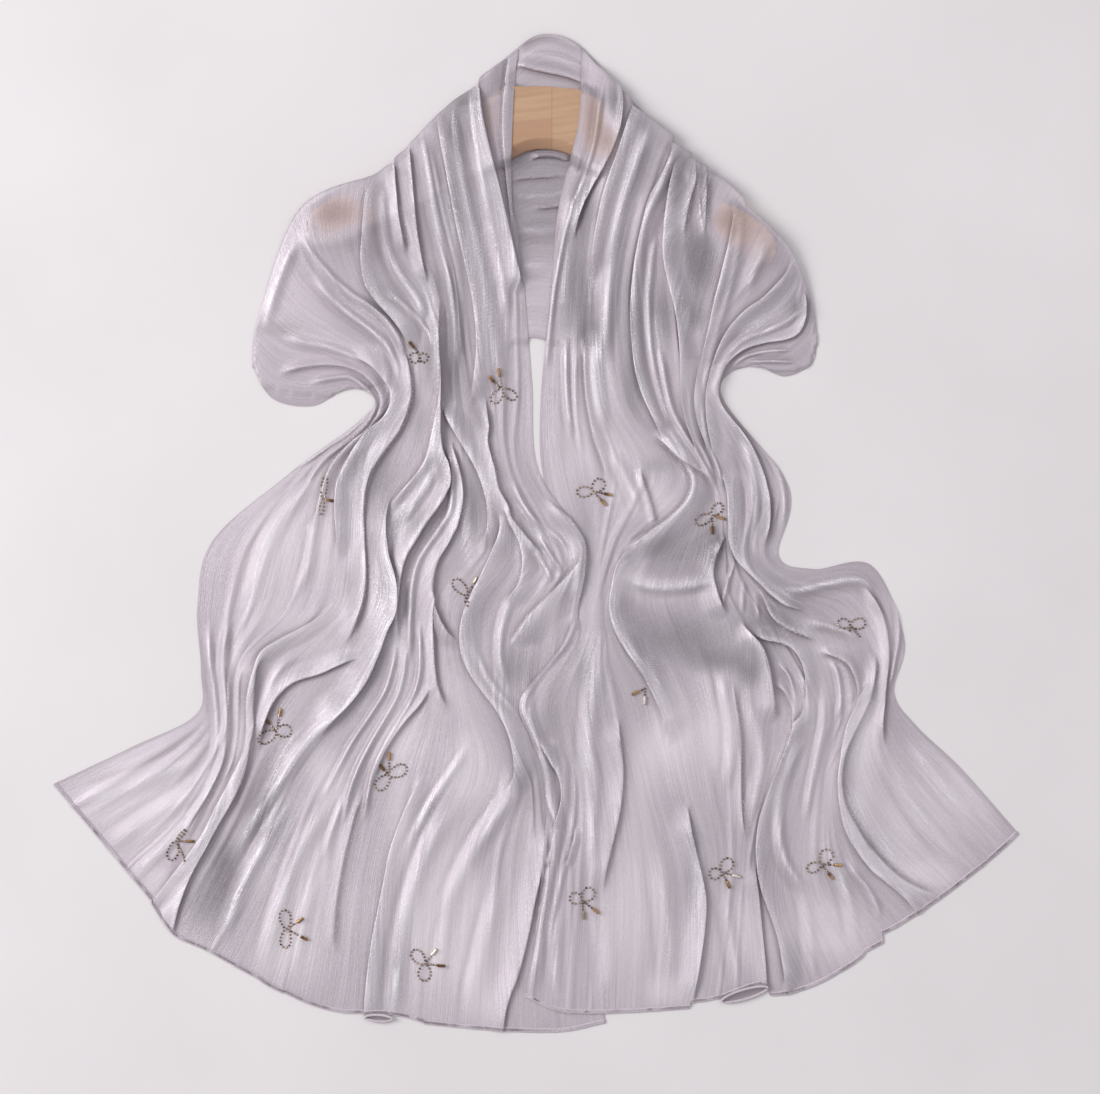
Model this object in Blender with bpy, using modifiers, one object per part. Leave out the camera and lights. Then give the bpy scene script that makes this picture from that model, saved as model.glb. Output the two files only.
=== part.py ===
import math

import bpy
import numpy as np
from mathutils import Vector
from mathutils.bvhtree import BVHTree

# A long sheer shawl laid round a wooden hanger, lying on its back on a table.
# Metres, +Z up, the collar at +Y. The tables are in millimetres on the table's plane.

MM = 0.001
CLOTH_WALL = 0.0016
BACK_WALL = 0.0022
MOST_WALL_STRETCH = 1.6
SEAM_GAP = 0.0003
HEM_WIDTH = 0.0050
HEM_RISE = 0.0006
NECK_ROLL = 0.0040
NECK_ROLL_SECTIONS = 0.05
STEEPEST_FOLD = 0.42
FOLD_FADE_SECTIONS = 0.9
DRAPE_PASSES = 14
LEFT_CELLS = (46, 33)
RIGHT_CELLS = (44, 34)
BACK_CELLS = (44, 15)
BACK_MIDDLE_SECTION = 5.0

HANGER_THICKNESS = 0.012
HANGER_JOINT_GAP = 0.0003
HANGER_EDGE_ROUND = 0.0045
HANGER_TURN = math.radians(-2.5)
HANGER_CENTRE = (0.0101, 0.373)
HANGER_STATIONS = 30
TABLE_SHIFT = (-0.0005, -0.0010)

# Sections of each front half, from the neck to the hem. A row gives the place of each
# flow line of the cloth, from the inner long edge to the outer one.
LEFT_LINES = ("inner", "lapel", "collar", "strap", "front", "pleat", "side", "sleeve", "flank", "outer")
LEFT_SECTIONS = (
    ("neck", (-15, 427), (-48, 402), (-86, 368), (-108, 345), (-119, 334),
     (-129, 325), (-143, 315), (-207, 286), (-244, 187), (-249, 147)),
    ("collarbone", (-19, 361), (-44, 356), (-83, 343), (-101, 321), (-113, 310),
     (-124, 299), (-150, 260), (-194, 244), (-220, 167), (-231, 120)),
    ("chest", (-18, 299), (-28, 295), (-73, 290), (-89, 268), (-101, 260),
     (-114, 253), (-139, 214), (-166, 205), (-185, 158), (-196, 114)),
    ("ribs", (-10, 224), (-20, 229), (-62, 233), (-73, 216), (-81, 210),
     (-90, 207), (-116, 185), (-132, 173), (-152, 145), (-163, 130)),
    ("waist", (-3, 136), (-19, 132), (-51, 145), (-68, 132), (-78, 132),
     (-88, 132), (-109, 123), (-126, 119), (-136, 114), (-143, 112)),
    ("flare", (3, 57), (-18, 62), (-38, 59), (-54, 59), (-75, 61),
     (-98, 62), (-143, 57), (-165, 64), (-194, 59), (-216, 55)),
    ("lobe", (45, -9), (22, -22), (-29, -9), (-50, -4), (-84, 2),
     (-130, 9), (-150, -4), (-173, -9), (-240, -4), (-284, -4)),
    ("hip", (38, -68), (-3, -73), (-61, -68), (-86, -57), (-106, -61),
     (-125, -62), (-154, -62), (-187, -68), (-257, -62), (-298, -62)),
    ("thigh", (34, -136), (-11, -145), (-50, -136), (-87, -135), (-121, -138),
     (-152, -138), (-194, -123), (-246, -114), (-273, -114), (-295, -119)),
    ("knee", (47, -224), (4, -224), (-18, -207), (-108, -207), (-157, -207),
     (-204, -211), (-238, -185), (-260, -182), (-280, -170), (-299, -158)),
    ("shin", (57, -321), (11, -321), (-42, -286), (-132, -295), (-185, -293),
     (-240, -286), (-271, -262), (-292, -267), (-323, -229), (-356, -187)),
    ("hem", (62, -431), (18, -439), (-57, -436), (-143, -425), (-210, -406),
     (-282, -365), (-317, -352), (-337, -326), (-378, -277), (-426, -220)),
)

RIGHT_LINES = ("inner", "lapel", "lobe", "front", "pleat", "side", "flank", "outer")
RIGHT_SECTIONS = (
    ("neck", (41, 429), (75, 390), (121, 345), (141, 327),
     (185, 290), (224, 251), (240, 209), (249, 167)),
    ("collarbone", (38, 361), (68, 339), (108, 312), (131, 295),
     (169, 260), (211, 224), (233, 185), (244, 151)),
    ("chest", (20, 286), (53, 277), (92, 268), (113, 260),
     (159, 220), (185, 202), (211, 167), (220, 140)),
    ("ribs", (14, 207), (45, 207), (84, 207), (117, 207),
     (143, 167), (159, 172), (179, 156), (189, 150)),
    ("waist", (5, 119), (48, 119), (96, 123), (129, 119),
     (141, 119), (149, 123), (158, 123), (165, 123)),
    ("lobe", (10, 48), (68, 57), (138, 48), (154, 48),
     (165, 47), (179, 48), (202, 48), (224, 42)),
    ("pinch", (48, -18), (62, -11), (85, -11), (162, -11),
     (172, -16), (182, -18), (195, -16), (215, -18)),
    ("spread", (43, -59), (53, -57), (66, -57), (159, -50),
     (185, -57), (209, -57), (233, -48), (246, -30)),
    ("hip", (24, -96), (48, -92), (75, -97), (172, -84),
     (209, -95), (244, -101), (275, -68), (297, -27)),
    ("thigh", (-13, -145), (28, -145), (103, -145), (178, -141),
     (231, -138), (259, -150), (301, -123), (326, -92)),
    ("brim", (-4, -179), (33, -182), (112, -182), (181, -179),
     (227, -173), (255, -182), (287, -165), (317, -139)),
    ("knee", (9, -220), (42, -220), (121, -220), (183, -220),
     (214, -211), (246, -216), (269, -213), (337, -169)),
    ("shin", (5, -308), (40, -308), (143, -304), (179, -304),
     (195, -297), (238, -304), (288, -282), (377, -207)),
    ("hem", (-9, -408), (35, -422), (138, -418), (170, -409),
     (211, -402), (267, -378), (336, -332), (427, -264)),
)

# The stretch behind the hanger: where its upper and its lower long edge lie, left to right.
BACK_SECTIONS = (
    ("left_tip", (-246, 158), (-240, 133)),
    ("left_shoulder", (-206, 281), (-180, 126)),
    ("left_slope", (-129, 324), (-119, 143)),
    ("left_neck", (-64, 385), (-57, 163)),
    ("left_collar", (-15, 430), (-6, 174)),
    ("middle", (10, 442), (10, 172)),
    ("right_collar", (41, 430), (33, 170)),
    ("right_neck", (92, 377), (92, 161)),
    ("right_slope", (151, 319), (156, 154)),
    ("right_shoulder", (223, 250), (207, 147)),
    ("right_tip", (246, 172), (240, 150)),
)

# Folds. A place counts flow lines from the inner edge, first and last count sections
# from the neck, half and rise are the fold's half width in flow lines and its height in
# millimetres, and lean is which flank is steep: -1 the inner one, 1 the outer one.
FOLD_COLUMNS = ("name", "first", "place_first", "place_mid", "place_last", "last", "half", "rise", "lean")
LEFT_FOLDS = (
    ("neck_strip", 0.0, 0.35, 0.35, 0.50, 3.2, 0.40, 4.0, 0.2),
    ("lapel_strip", 0.0, 1.25, 1.35, 1.50, 5.0, 0.45, 6.0, -0.4),
    ("chest_panel", 0.0, 3.40, 2.90, 2.60, 4.6, 0.75, 6.0, 0.5),
    ("middle_crest", 1.8, 4.90, 4.90, 5.05, 8.4, 0.50, 8.5, 0.3),
    ("side_crest", 4.8, 5.55, 5.55, 5.60, 9.2, 0.45, 8.0, -0.2),
    ("sleeve_fold", 0.8, 6.95, 6.75, 6.50, 7.6, 0.50, 7.0, 0.1),
    ("puff_fold", 0.6, 7.70, 7.75, 7.90, 6.4, 0.45, 5.0, 0.0),
    ("puff_rim", 0.4, 8.70, 8.65, 8.60, 5.4, 0.35, 4.0, 0.3),
    ("lobe_fold", 4.0, 0.90, 0.70, 0.90, 7.0, 0.60, 6.5, 0.3),
    ("collar_crest", 5.6, 2.05, 2.05, 1.90, 10.4, 0.50, 8.0, 0.4),
    ("strap_crest", 5.2, 3.10, 3.15, 3.40, 9.2, 0.45, 7.5, 0.2),
    ("flank_crest", 7.0, 6.60, 6.55, 6.50, 11.0, 0.45, 8.0, -0.5),
    ("outer_crest", 7.0, 7.60, 7.45, 7.40, 10.6, 0.35, 6.0, -0.3),
    ("knee_band", 8.0, 4.90, 5.10, 5.20, 11.0, 0.50, 5.0, 0.2),
    ("hem_crest", 9.0, 3.05, 3.00, 3.00, 11.0, 0.40, 6.0, -0.6),
)
RIGHT_FOLDS = (
    ("neck_strip", 0.0, 0.35, 0.20, 0.20, 3.6, 0.35, 5.0, -0.2),
    ("chest_panel", 0.6, 1.45, 1.50, 1.55, 5.2, 0.60, 7.0, 0.5),
    ("lapel_line", 0.4, 0.95, 0.90, 0.80, 4.2, 0.25, 4.5, -0.3),
    ("front_strip", 0.4, 3.00, 3.00, 2.75, 4.8, 0.40, 7.5, -0.3),
    ("waist_crest", 2.2, 4.80, 4.75, 4.60, 6.0, 0.50, 6.5, -0.2),
    ("puff_rim", 0.6, 6.20, 6.30, 6.40, 4.2, 0.40, 5.0, 0.2),
    ("lobe_wave", 4.4, 2.02, 2.02, 2.05, 9.4, 0.42, 9.5, 0.1),
    ("lobe_side", 5.6, 2.95, 2.90, 2.95, 8.4, 0.25, 7.0, 0.5),
    ("outer_strip", 4.6, 6.30, 6.25, 6.20, 6.6, 0.50, 5.5, 0.3),
    ("brim_band", 6.2, 6.35, 6.30, 6.30, 9.4, 0.45, 6.5, 0.3),
    ("hip_edge", 8.0, 3.80, 3.85, 3.90, 10.2, 0.35, 7.0, 0.4),
    ("pleat_crest", 8.6, 4.35, 4.10, 4.05, 12.6, 0.40, 7.5, -0.3),
    ("flank_crest", 9.0, 6.15, 6.05, 6.00, 13.0, 0.40, 8.5, -0.4),
    ("knee_panel", 9.0, 2.95, 2.90, 2.80, 11.6, 0.45, 5.0, 0.1),
    ("inner_roll", 8.8, 0.35, 0.35, 0.35, 13.0, 0.35, 4.0, -0.3),
    ("hem_edge", 11.0, 1.85, 1.85, 1.80, 13.0, 0.35, 5.0, 0.6),
)
# Folds along the back stretch: place and half width as shares of its depth, height in
# millimetres, and how many sections from the middle it reaches.
BACK_FOLD_COLUMNS = ("name", "place", "half", "height", "reach")
BACK_FOLDS = (
    ("collar_crease", 0.00, 0.06, 3.0, 1.2),
    ("collar_band", 0.11, 0.05, 2.4, 0.9),
    ("upper_gather", 0.56, 0.06, 1.8, 2.6),
    ("lower_gather", 0.68, 0.06, 2.0, 3.0),
    ("edge_gather", 0.86, 0.07, 1.4, 3.4),
)

# Half of the hanger, from its joint to its shoulder end: how far out, then where its
# upper and its lower edge lie, both from the hanger's centre.
HANGER_SECTIONS = (
    ("joint", 0, 20, -34),
    ("arch", 16, 19, -36),
    ("throat", 31, 18, -44),
    ("root", 47, 10, -53),
    ("slope_a", 69, -5, -65),
    ("slope_b", 95, -24, -80),
    ("slope_c", 121, -45, -96),
    ("slope_d", 148, -70, -110),
    ("shoulder", 174, -81, -124),
    ("cap", 190, -90, -130),
    ("tip", 201, -99, -127),
    ("end", 206, -109, -119),
)

COLOURS = {
    "shawl_satin": ((0.52, 0.47, 0.53, 1.0), 0.42, 0.10),
    "hem_stitching": ((0.40, 0.36, 0.41, 1.0), 0.55, 0.0),
    "beech": ((0.62, 0.40, 0.20, 1.0), 0.48, 0.0),
}


def slopes(points):
    steps = np.diff(points, axis=0)
    lengths = np.linalg.norm(steps, axis=-1, keepdims=True)
    inner = 0.5 * (steps[1:] + steps[:-1])
    tangents = np.concatenate([steps[:1], inner, steps[-1:]])
    least = np.concatenate([lengths[:1], np.minimum(lengths[1:], lengths[:-1]), lengths[-1:]])
    size = np.maximum(np.linalg.norm(tangents, axis=-1, keepdims=True), 1e-9)
    return tangents * np.minimum(1.0, 1.6 * least / size)


def along(points, places):
    """Points of the smooth curve through the rows, at places counted in rows."""
    points = np.asarray(points, float)
    tangents = slopes(points)
    i = np.clip(np.floor(places).astype(int), 0, len(points) - 2)
    shape = (len(places),) + (1,) * (points.ndim - 1)
    t = (np.asarray(places) - i).reshape(shape)
    return (
        (2 * t**3 - 3 * t**2 + 1) * points[i]
        + (t**3 - 2 * t**2 + t) * tangents[i]
        + (3 * t**2 - 2 * t**3) * points[i + 1]
        + (t**3 - t**2) * tangents[i + 1]
    )


def even_places(points, count):
    """Places counted in rows that lie evenly along the rows' mean spacing."""
    fine = np.linspace(0, len(points) - 1, 40 * (len(points) - 1) + 1)
    curve = along(points, fine)
    steps = np.linalg.norm(np.diff(curve, axis=0), axis=-1)
    steps = steps.reshape(len(steps), -1).mean(axis=1)
    length = np.concatenate([[0], np.cumsum(steps)])
    return np.interp(np.linspace(0, length[-1], count), length, fine)


def smooth_step(x):
    x = np.clip(x, 0.0, 1.0)
    return x * x * (3 - 2 * x)


def fold_heights(folds, u, v, cell_width):
    """Height of the folds at flow line u and section v, in metres."""
    total = np.zeros(np.broadcast(u, v).shape)
    for row in folds:
        fold = dict(zip(FOLD_COLUMNS, row))
        first, last, half, lean = fold["first"], fold["last"], fold["half"], fold["lean"]
        places = [fold["place_first"], fold["place_mid"], fold["place_last"]]
        place = np.interp(v, [first, 0.5 * (first + last), last], places)
        offset = (u - place) / half
        width = np.where(offset < 0, 1 + 0.5 * lean, 1 - 0.5 * lean)
        ridge = 0.5 + 0.5 * np.cos(np.pi * np.clip(offset / width, -1, 1))
        start = 1.0 if first <= 0 else smooth_step((v - first) / FOLD_FADE_SECTIONS)
        end = 1.0 if last >= v.max() - 0.01 else smooth_step((last - v) / FOLD_FADE_SECTIONS)
        height = np.minimum(fold["rise"] * MM, STEEPEST_FOLD * half * cell_width)
        total = np.maximum(total, ridge * start * end * height)
    return total


def height_below(trees, x, y):
    top = 0.0
    for tree in trees:
        hit = tree.ray_cast(Vector((x, y, 1.0)), Vector((0, 0, -1)))[0]
        if hit is not None:
            top = max(top, hit.z)
    return top


def lie_on(points, trees):
    """Lowest height of a sheet over what lies below it, drawn out smoothly beyond its edges."""
    count_u, count_v, _ = points.shape
    fine_u = np.linspace(0, count_u - 1, 2 * count_u - 1)
    fine_v = np.linspace(0, count_v - 1, 2 * count_v - 1)
    low_u = np.minimum(fine_u.astype(int), count_u - 2)
    low_v = np.minimum(fine_v.astype(int), count_v - 2)
    part_u = (fine_u - low_u)[:, None, None]
    part_v = (fine_v - low_v)[None, :, None]
    rows = points[low_u] * (1 - part_u) + points[low_u + 1] * part_u
    dense = rows[:, low_v] * (1 - part_v) + rows[:, low_v + 1] * part_v
    found = np.array([[height_below(trees, x, y) for x, y in line] for line in dense])
    padded = np.pad(found, 2, mode="edge")
    most = np.max(
        [padded[a : a + found.shape[0], b : b + found.shape[1]] for a in range(5) for b in range(5)],
        axis=0,
    )[::2, ::2]
    need = np.where(most > 0, most + SEAM_GAP, 0.0)
    height = need.copy()
    for _ in range(DRAPE_PASSES):
        wide = np.pad(height, 1, mode="edge")
        mean = 0.25 * (wide[:-2, 1:-1] + wide[2:, 1:-1] + wide[1:-1, :-2] + wide[1:-1, 2:])
        height = np.maximum(need, mean)
        height[:, 0] = need[:, 0]
        height[0] = need[0]
        height[-1] = need[-1]
    return height


def solid(name, top, under, collection, material):
    """A closed sheet between an upper and a lower grid of points."""
    count_u, count_v, _ = top.shape
    size = count_u * count_v
    vertices = np.concatenate([top.reshape(-1, 3), under.reshape(-1, 3)])
    area = 0.0
    for a, b, c in ((0, 1, count_v), (count_v + 1, count_v, 1)):
        p, q, r = top.reshape(-1, 3)[[a, b, c]]
        area += (q[0] - p[0]) * (r[1] - p[1]) - (q[1] - p[1]) * (r[0] - p[0])
    faces = []
    for i in range(count_u - 1):
        for j in range(count_v - 1):
            a = i * count_v + j
            b, c, d = a + count_v, a + count_v + 1, a + 1
            faces += [(a, b, c), (a, c, d)]
            faces += [(size + a, size + c, size + b), (size + a, size + d, size + c)]
    rim = [i * count_v for i in range(count_u)]
    rim += [(count_u - 1) * count_v + j for j in range(1, count_v)]
    rim += [i * count_v + count_v - 1 for i in range(count_u - 2, -1, -1)]
    rim += [j for j in range(count_v - 2, 0, -1)]
    for a, b in zip(rim, rim[1:] + rim[:1]):
        faces += [(a, size + a, size + b), (a, size + b, b)]
    if area > 0:
        faces = [tuple(reversed(face)) for face in faces]
    mesh = bpy.data.meshes.new(name)
    mesh.from_pydata([tuple(v) for v in vertices], [], faces)
    mesh.materials.append(material)
    mesh.validate()
    made = bpy.data.objects.new(name, mesh)
    collection.objects.link(made)
    return made


def tree_of(made):
    matrix = made.matrix_world
    points = [matrix @ vertex.co for vertex in made.data.vertices]
    return BVHTree.FromPolygons(points, [tuple(face.vertices) for face in made.data.polygons])


def with_height(points, height):
    return np.concatenate([points, height[..., None]], axis=-1)


def end_rows(points, insets):
    """Rows of points set back from the last row, at right angles to it."""
    last = points[:, -1]
    edge = np.gradient(last, axis=0)
    edge /= np.linalg.norm(edge, axis=1, keepdims=True)
    inward = np.stack([-edge[:, 1], edge[:, 0]], axis=1)
    back = points[:, -2] - last
    inward *= np.sign((inward * back).sum(axis=1).mean())
    return [last + inward * inset for inset in insets]


def front_half(side, lines, sections, folds, cells, below, collection, materials):
    """One long half of the shawl and the rolled hem on its short end."""
    assert all(len(row) == 1 + len(lines) for row in sections)
    count_u, count_v = cells
    table = np.array([row[1:] for row in sections], float) * MM + TABLE_SHIFT
    v_places = even_places(table, count_v)
    flows = np.swapaxes(along(table, v_places), 0, 1)
    u_places = even_places(flows, count_u)
    grid = along(flows, u_places)
    start = grid[:, 1] - grid[:, 0]
    start /= np.linalg.norm(start, axis=1, keepdims=True)
    roll = grid[:, 0] + start * NECK_ROLL
    hem_out, hem_mid, hem_in, edge = end_rows(
        grid, (0.0, 0.5 * HEM_WIDTH, HEM_WIDTH, HEM_WIDTH + SEAM_GAP)
    )
    rows = [grid[:, 0], roll] + [grid[:, j] for j in range(1, count_v - 1)]
    points = np.stack(rows + [edge, hem_in, hem_mid, hem_out], axis=1)
    v = np.concatenate([[0, NECK_ROLL_SECTIONS], v_places[1:-1], [v_places[-1]] * 4])[None, :]
    u = u_places[:, None]
    widths = np.linalg.norm(np.gradient(points, axis=0), axis=-1)
    cell = widths / np.gradient(u_places)[:, None]
    base = lie_on(points, below)
    rise = fold_heights(folds, u, v, cell)
    rise[:, 0] = 0.0
    slope = np.abs(np.gradient(rise, axis=0)) / np.maximum(widths, 1e-4)
    wall = CLOTH_WALL * np.minimum(np.sqrt(1 + slope**2), MOST_WALL_STRETCH)
    top = base + rise + CLOTH_WALL
    under = np.maximum(base, top - wall)
    body = solid(
        f"{side}_front",
        with_height(points, top)[:, :-3],
        with_height(points, under)[:, :-3],
        collection,
        materials["shawl_satin"],
    )
    swell = np.array([0.0, HEM_RISE, 0.0])
    hem = solid(
        f"{side}_hem",
        with_height(points[:, -3:], top[:, -3:] + swell),
        with_height(points[:, -3:], under[:, -3:]),
        collection,
        materials["hem_stitching"],
    )
    return body, hem


def back_stretch(collection, materials):
    """The stretch behind the hanger, flat underneath, with the folds that show at the neck."""
    count_u, count_v = BACK_CELLS
    table = np.array([row[1:] for row in BACK_SECTIONS], float) * MM + TABLE_SHIFT
    u_places = even_places(table, count_u)
    ends = along(table, u_places)
    depth = np.linspace(0, 1, count_v)[None, :, None]
    points = ends[:, :1] * (1 - depth) + ends[:, 1:] * depth
    rise = np.zeros(points.shape[:2])
    for row in BACK_FOLDS:
        fold = dict(zip(BACK_FOLD_COLUMNS, row))
        offset = np.clip((depth[..., 0] - fold["place"]) / fold["half"], -1, 1)
        from_middle = np.abs(u_places - BACK_MIDDLE_SECTION) / fold["reach"]
        near = smooth_step(1.5 * (1 - from_middle))[:, None]
        ridge = 0.5 + 0.5 * np.cos(np.pi * offset)
        rise = np.maximum(rise, ridge * near * fold["height"] * MM)
    under = np.zeros(rise.shape)
    return solid(
        "back_stretch",
        with_height(points, rise + BACK_WALL),
        with_height(points, under),
        collection,
        materials["shawl_satin"],
    )


def hanger_half(side, sign, below, collection, materials):
    """Half of the laminated hanger: an outline raised to its thickness, its edges rounded."""
    table = np.array([row[1:] for row in HANGER_SECTIONS], float)
    places = np.linspace(0, len(table) - 1, HANGER_STATIONS)
    shape = along(table, places) * MM
    upper = [(x, y) for x, y, _ in shape]
    lower = [(x, y) for x, _, y in shape[::-1]]
    outline = [(max(x, 0.5 * HANGER_JOINT_GAP), y) for x, y in upper + lower]
    cosine = math.cos(HANGER_TURN)
    sine = math.sin(HANGER_TURN)
    turn = np.array([[cosine, -sine], [sine, cosine]])
    placed = np.array([(sign * x, y) for x, y in outline]) @ turn.T + HANGER_CENTRE
    if sign < 0:
        placed = placed[::-1]
    floor = max(height_below(below, x, y) for x, y in placed) + SEAM_GAP
    count = len(placed)
    vertices = [(x, y, floor) for x, y in placed]
    vertices += [(x, y, floor + HANGER_THICKNESS) for x, y in placed]
    faces = [tuple(range(count)), tuple(range(2 * count - 1, count - 1, -1))]
    for i in range(count):
        j = (i + 1) % count
        faces.append((i, count + i, count + j, j))
    mesh = bpy.data.meshes.new(f"hanger_{side}")
    mesh.from_pydata(vertices, [], faces)
    mesh.materials.append(materials["beech"])
    mesh.validate()
    made = bpy.data.objects.new(f"hanger_{side}", mesh)
    collection.objects.link(made)
    bevel = made.modifiers.new("rounded_edge", "BEVEL")
    bevel.width = HANGER_EDGE_ROUND
    bevel.segments = 2
    bevel.limit_method = "ANGLE"
    bevel.angle_limit = math.radians(60)
    return made


def make_materials():
    made = {}
    for name, (colour, rough, metal) in COLOURS.items():
        material = bpy.data.materials.new(name)
        material.use_nodes = True
        shader = material.node_tree.nodes["Principled BSDF"]
        shader.inputs["Base Color"].default_value = colour
        shader.inputs["Roughness"].default_value = rough
        shader.inputs["Metallic"].default_value = metal
        made[name] = material
    return made


def main():
    for item in list(bpy.data.objects):
        bpy.data.objects.remove(item, do_unlink=True)
    collection = bpy.data.collections.new("hijab_on_hanger")
    bpy.context.scene.collection.children.link(collection)
    materials = make_materials()
    back = [tree_of(back_stretch(collection, materials))]
    hanger = [
        tree_of(hanger_half(side, sign, back, collection, materials))
        for side, sign in (("left", -1), ("right", 1))
    ]
    left = front_half(
        "left", LEFT_LINES, LEFT_SECTIONS, LEFT_FOLDS, LEFT_CELLS, back + hanger, collection, materials
    )
    below = back + hanger + [tree_of(part) for part in left]
    front_half(
        "right", RIGHT_LINES, RIGHT_SECTIONS, RIGHT_FOLDS, RIGHT_CELLS, below, collection, materials
    )


main()
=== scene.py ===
import math

import bmesh
import bpy
import numpy as np
from mathutils import Matrix, Vector
from mathutils.bvhtree import BVHTree


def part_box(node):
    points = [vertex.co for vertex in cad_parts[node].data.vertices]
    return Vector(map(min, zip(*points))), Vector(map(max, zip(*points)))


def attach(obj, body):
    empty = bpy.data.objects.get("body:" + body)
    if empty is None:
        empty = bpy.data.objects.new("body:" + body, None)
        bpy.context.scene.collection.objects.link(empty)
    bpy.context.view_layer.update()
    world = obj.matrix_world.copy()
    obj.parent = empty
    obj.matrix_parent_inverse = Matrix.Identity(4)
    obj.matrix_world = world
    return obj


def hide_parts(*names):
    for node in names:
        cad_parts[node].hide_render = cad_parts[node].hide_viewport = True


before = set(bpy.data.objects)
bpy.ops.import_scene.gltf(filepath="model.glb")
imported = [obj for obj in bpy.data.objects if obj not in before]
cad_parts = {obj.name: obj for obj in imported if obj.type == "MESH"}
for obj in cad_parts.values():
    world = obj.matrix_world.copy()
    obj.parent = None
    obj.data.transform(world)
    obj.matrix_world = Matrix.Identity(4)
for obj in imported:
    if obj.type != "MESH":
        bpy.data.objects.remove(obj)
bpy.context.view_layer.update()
bpy.ops.object.select_all(action="DESELECT")
mm = 0.001

# what the photo's pixels are on the table
photo = {
    "centre": (535.0, 535.0),  # pixel over the table's origin
    "mmPerPixel": 0.88,
    "shift": (-0.0005, -0.0010),  # the CAD's table shift, metres
}


def fromPixels(lengths):
    return lengths * photo["mmPerPixel"] * mm


def fromPhoto(points):
    points = np.asarray(points, float)
    x = fromPixels(points[..., 0] - photo["centre"][0]) + photo["shift"][0]
    y = fromPixels(photo["centre"][1] - points[..., 1]) + photo["shift"][1]
    return np.stack([x, y], axis=-1)


def named(columns, table):
    return [dict(zip(columns, row)) for row in table]


# sections of each stretch of the cut, millimetres on the table, as in the CAD
leftSections = (
    ("neck", (-15, 427), (-48, 402), (-86, 368), (-108, 345), (-119, 334), (-129, 325), (-143, 315),
     (-207, 286), (-244, 187), (-249, 147)),
    ("collarbone", (-19, 361), (-44, 356), (-83, 343), (-101, 321), (-113, 310), (-124, 299), (-150, 260),
     (-194, 244), (-220, 167), (-231, 120)),
    ("chest", (-18, 299), (-28, 295), (-73, 290), (-89, 268), (-101, 260), (-114, 253), (-139, 214),
     (-166, 205), (-185, 158), (-196, 114)),
    ("ribs", (-10, 224), (-20, 229), (-62, 233), (-73, 216), (-81, 210), (-90, 207), (-116, 185),
     (-132, 173), (-152, 145), (-163, 130)),
    ("waist", (-3, 136), (-19, 132), (-51, 145), (-68, 132), (-78, 132), (-88, 132), (-109, 123),
     (-126, 119), (-136, 114), (-143, 112)),
    ("flare", (3, 57), (-18, 62), (-38, 59), (-54, 59), (-75, 61), (-98, 62), (-143, 57), (-165, 64),
     (-194, 59), (-216, 55)),
    ("lobe", (45, -9), (22, -22), (-29, -9), (-50, -4), (-84, 2), (-130, 9), (-150, -4), (-173, -9),
     (-240, -4), (-284, -4)),
    ("hip", (38, -68), (-3, -73), (-61, -68), (-86, -57), (-106, -61), (-125, -62), (-154, -62),
     (-187, -68), (-257, -62), (-298, -62)),
    ("thigh", (34, -136), (-11, -145), (-50, -136), (-87, -135), (-121, -138), (-152, -138), (-194, -123),
     (-246, -114), (-273, -114), (-295, -119)),
    ("knee", (47, -224), (4, -224), (-18, -207), (-108, -207), (-157, -207), (-204, -211), (-238, -185),
     (-260, -182), (-280, -170), (-299, -158)),
    ("shin", (57, -321), (11, -321), (-42, -286), (-132, -295), (-185, -293), (-240, -286), (-271, -262),
     (-292, -267), (-323, -229), (-356, -187)),
    ("hem", (62, -431), (18, -439), (-57, -436), (-143, -425), (-210, -406), (-282, -365), (-317, -352),
     (-337, -326), (-378, -277), (-426, -220)),
)
rightSections = (
    ("neck", (41, 429), (75, 390), (121, 345), (141, 327), (185, 290), (224, 251), (240, 209), (249, 167)),
    ("collarbone", (38, 361), (68, 339), (108, 312), (131, 295), (169, 260), (211, 224), (233, 185),
     (244, 151)),
    ("chest", (20, 286), (53, 277), (92, 268), (113, 260), (159, 220), (185, 202), (211, 167), (220, 140)),
    ("ribs", (14, 207), (45, 207), (84, 207), (117, 207), (143, 167), (159, 172), (179, 156), (189, 150)),
    ("waist", (5, 119), (48, 119), (96, 123), (129, 119), (141, 119), (149, 123), (158, 123), (165, 123)),
    ("lobe", (8, 48), (68, 57), (138, 48), (154, 48), (165, 47), (179, 48), (202, 48), (224, 42)),
    ("pinch", (36, -18), (60, -11), (85, -11), (162, -11), (172, -16), (182, -18), (195, -16), (215, -18)),
    ("spread", (36, -59), (51, -57), (66, -57), (159, -50), (185, -57), (209, -57), (233, -48), (246, -30)),
    ("hip", (24, -96), (48, -92), (75, -97), (172, -84), (209, -95), (244, -101), (275, -68), (297, -27)),
    ("thigh", (-13, -145), (28, -145), (103, -145), (178, -141), (231, -138), (259, -150), (301, -123),
     (326, -92)),
    ("brim", (-4, -179), (33, -182), (112, -182), (181, -179), (227, -173), (255, -182), (287, -165),
     (317, -139)),
    ("knee", (9, -220), (42, -220), (121, -220), (183, -220), (214, -211), (246, -216), (269, -213),
     (337, -169)),
    ("shin", (5, -308), (40, -308), (143, -304), (179, -304), (195, -297), (238, -304), (288, -282),
     (377, -207)),
    ("hem", (-9, -408), (35, -422), (138, -418), (170, -409), (211, -402), (267, -378), (336, -332),
     (427, -264)),
)
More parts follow.
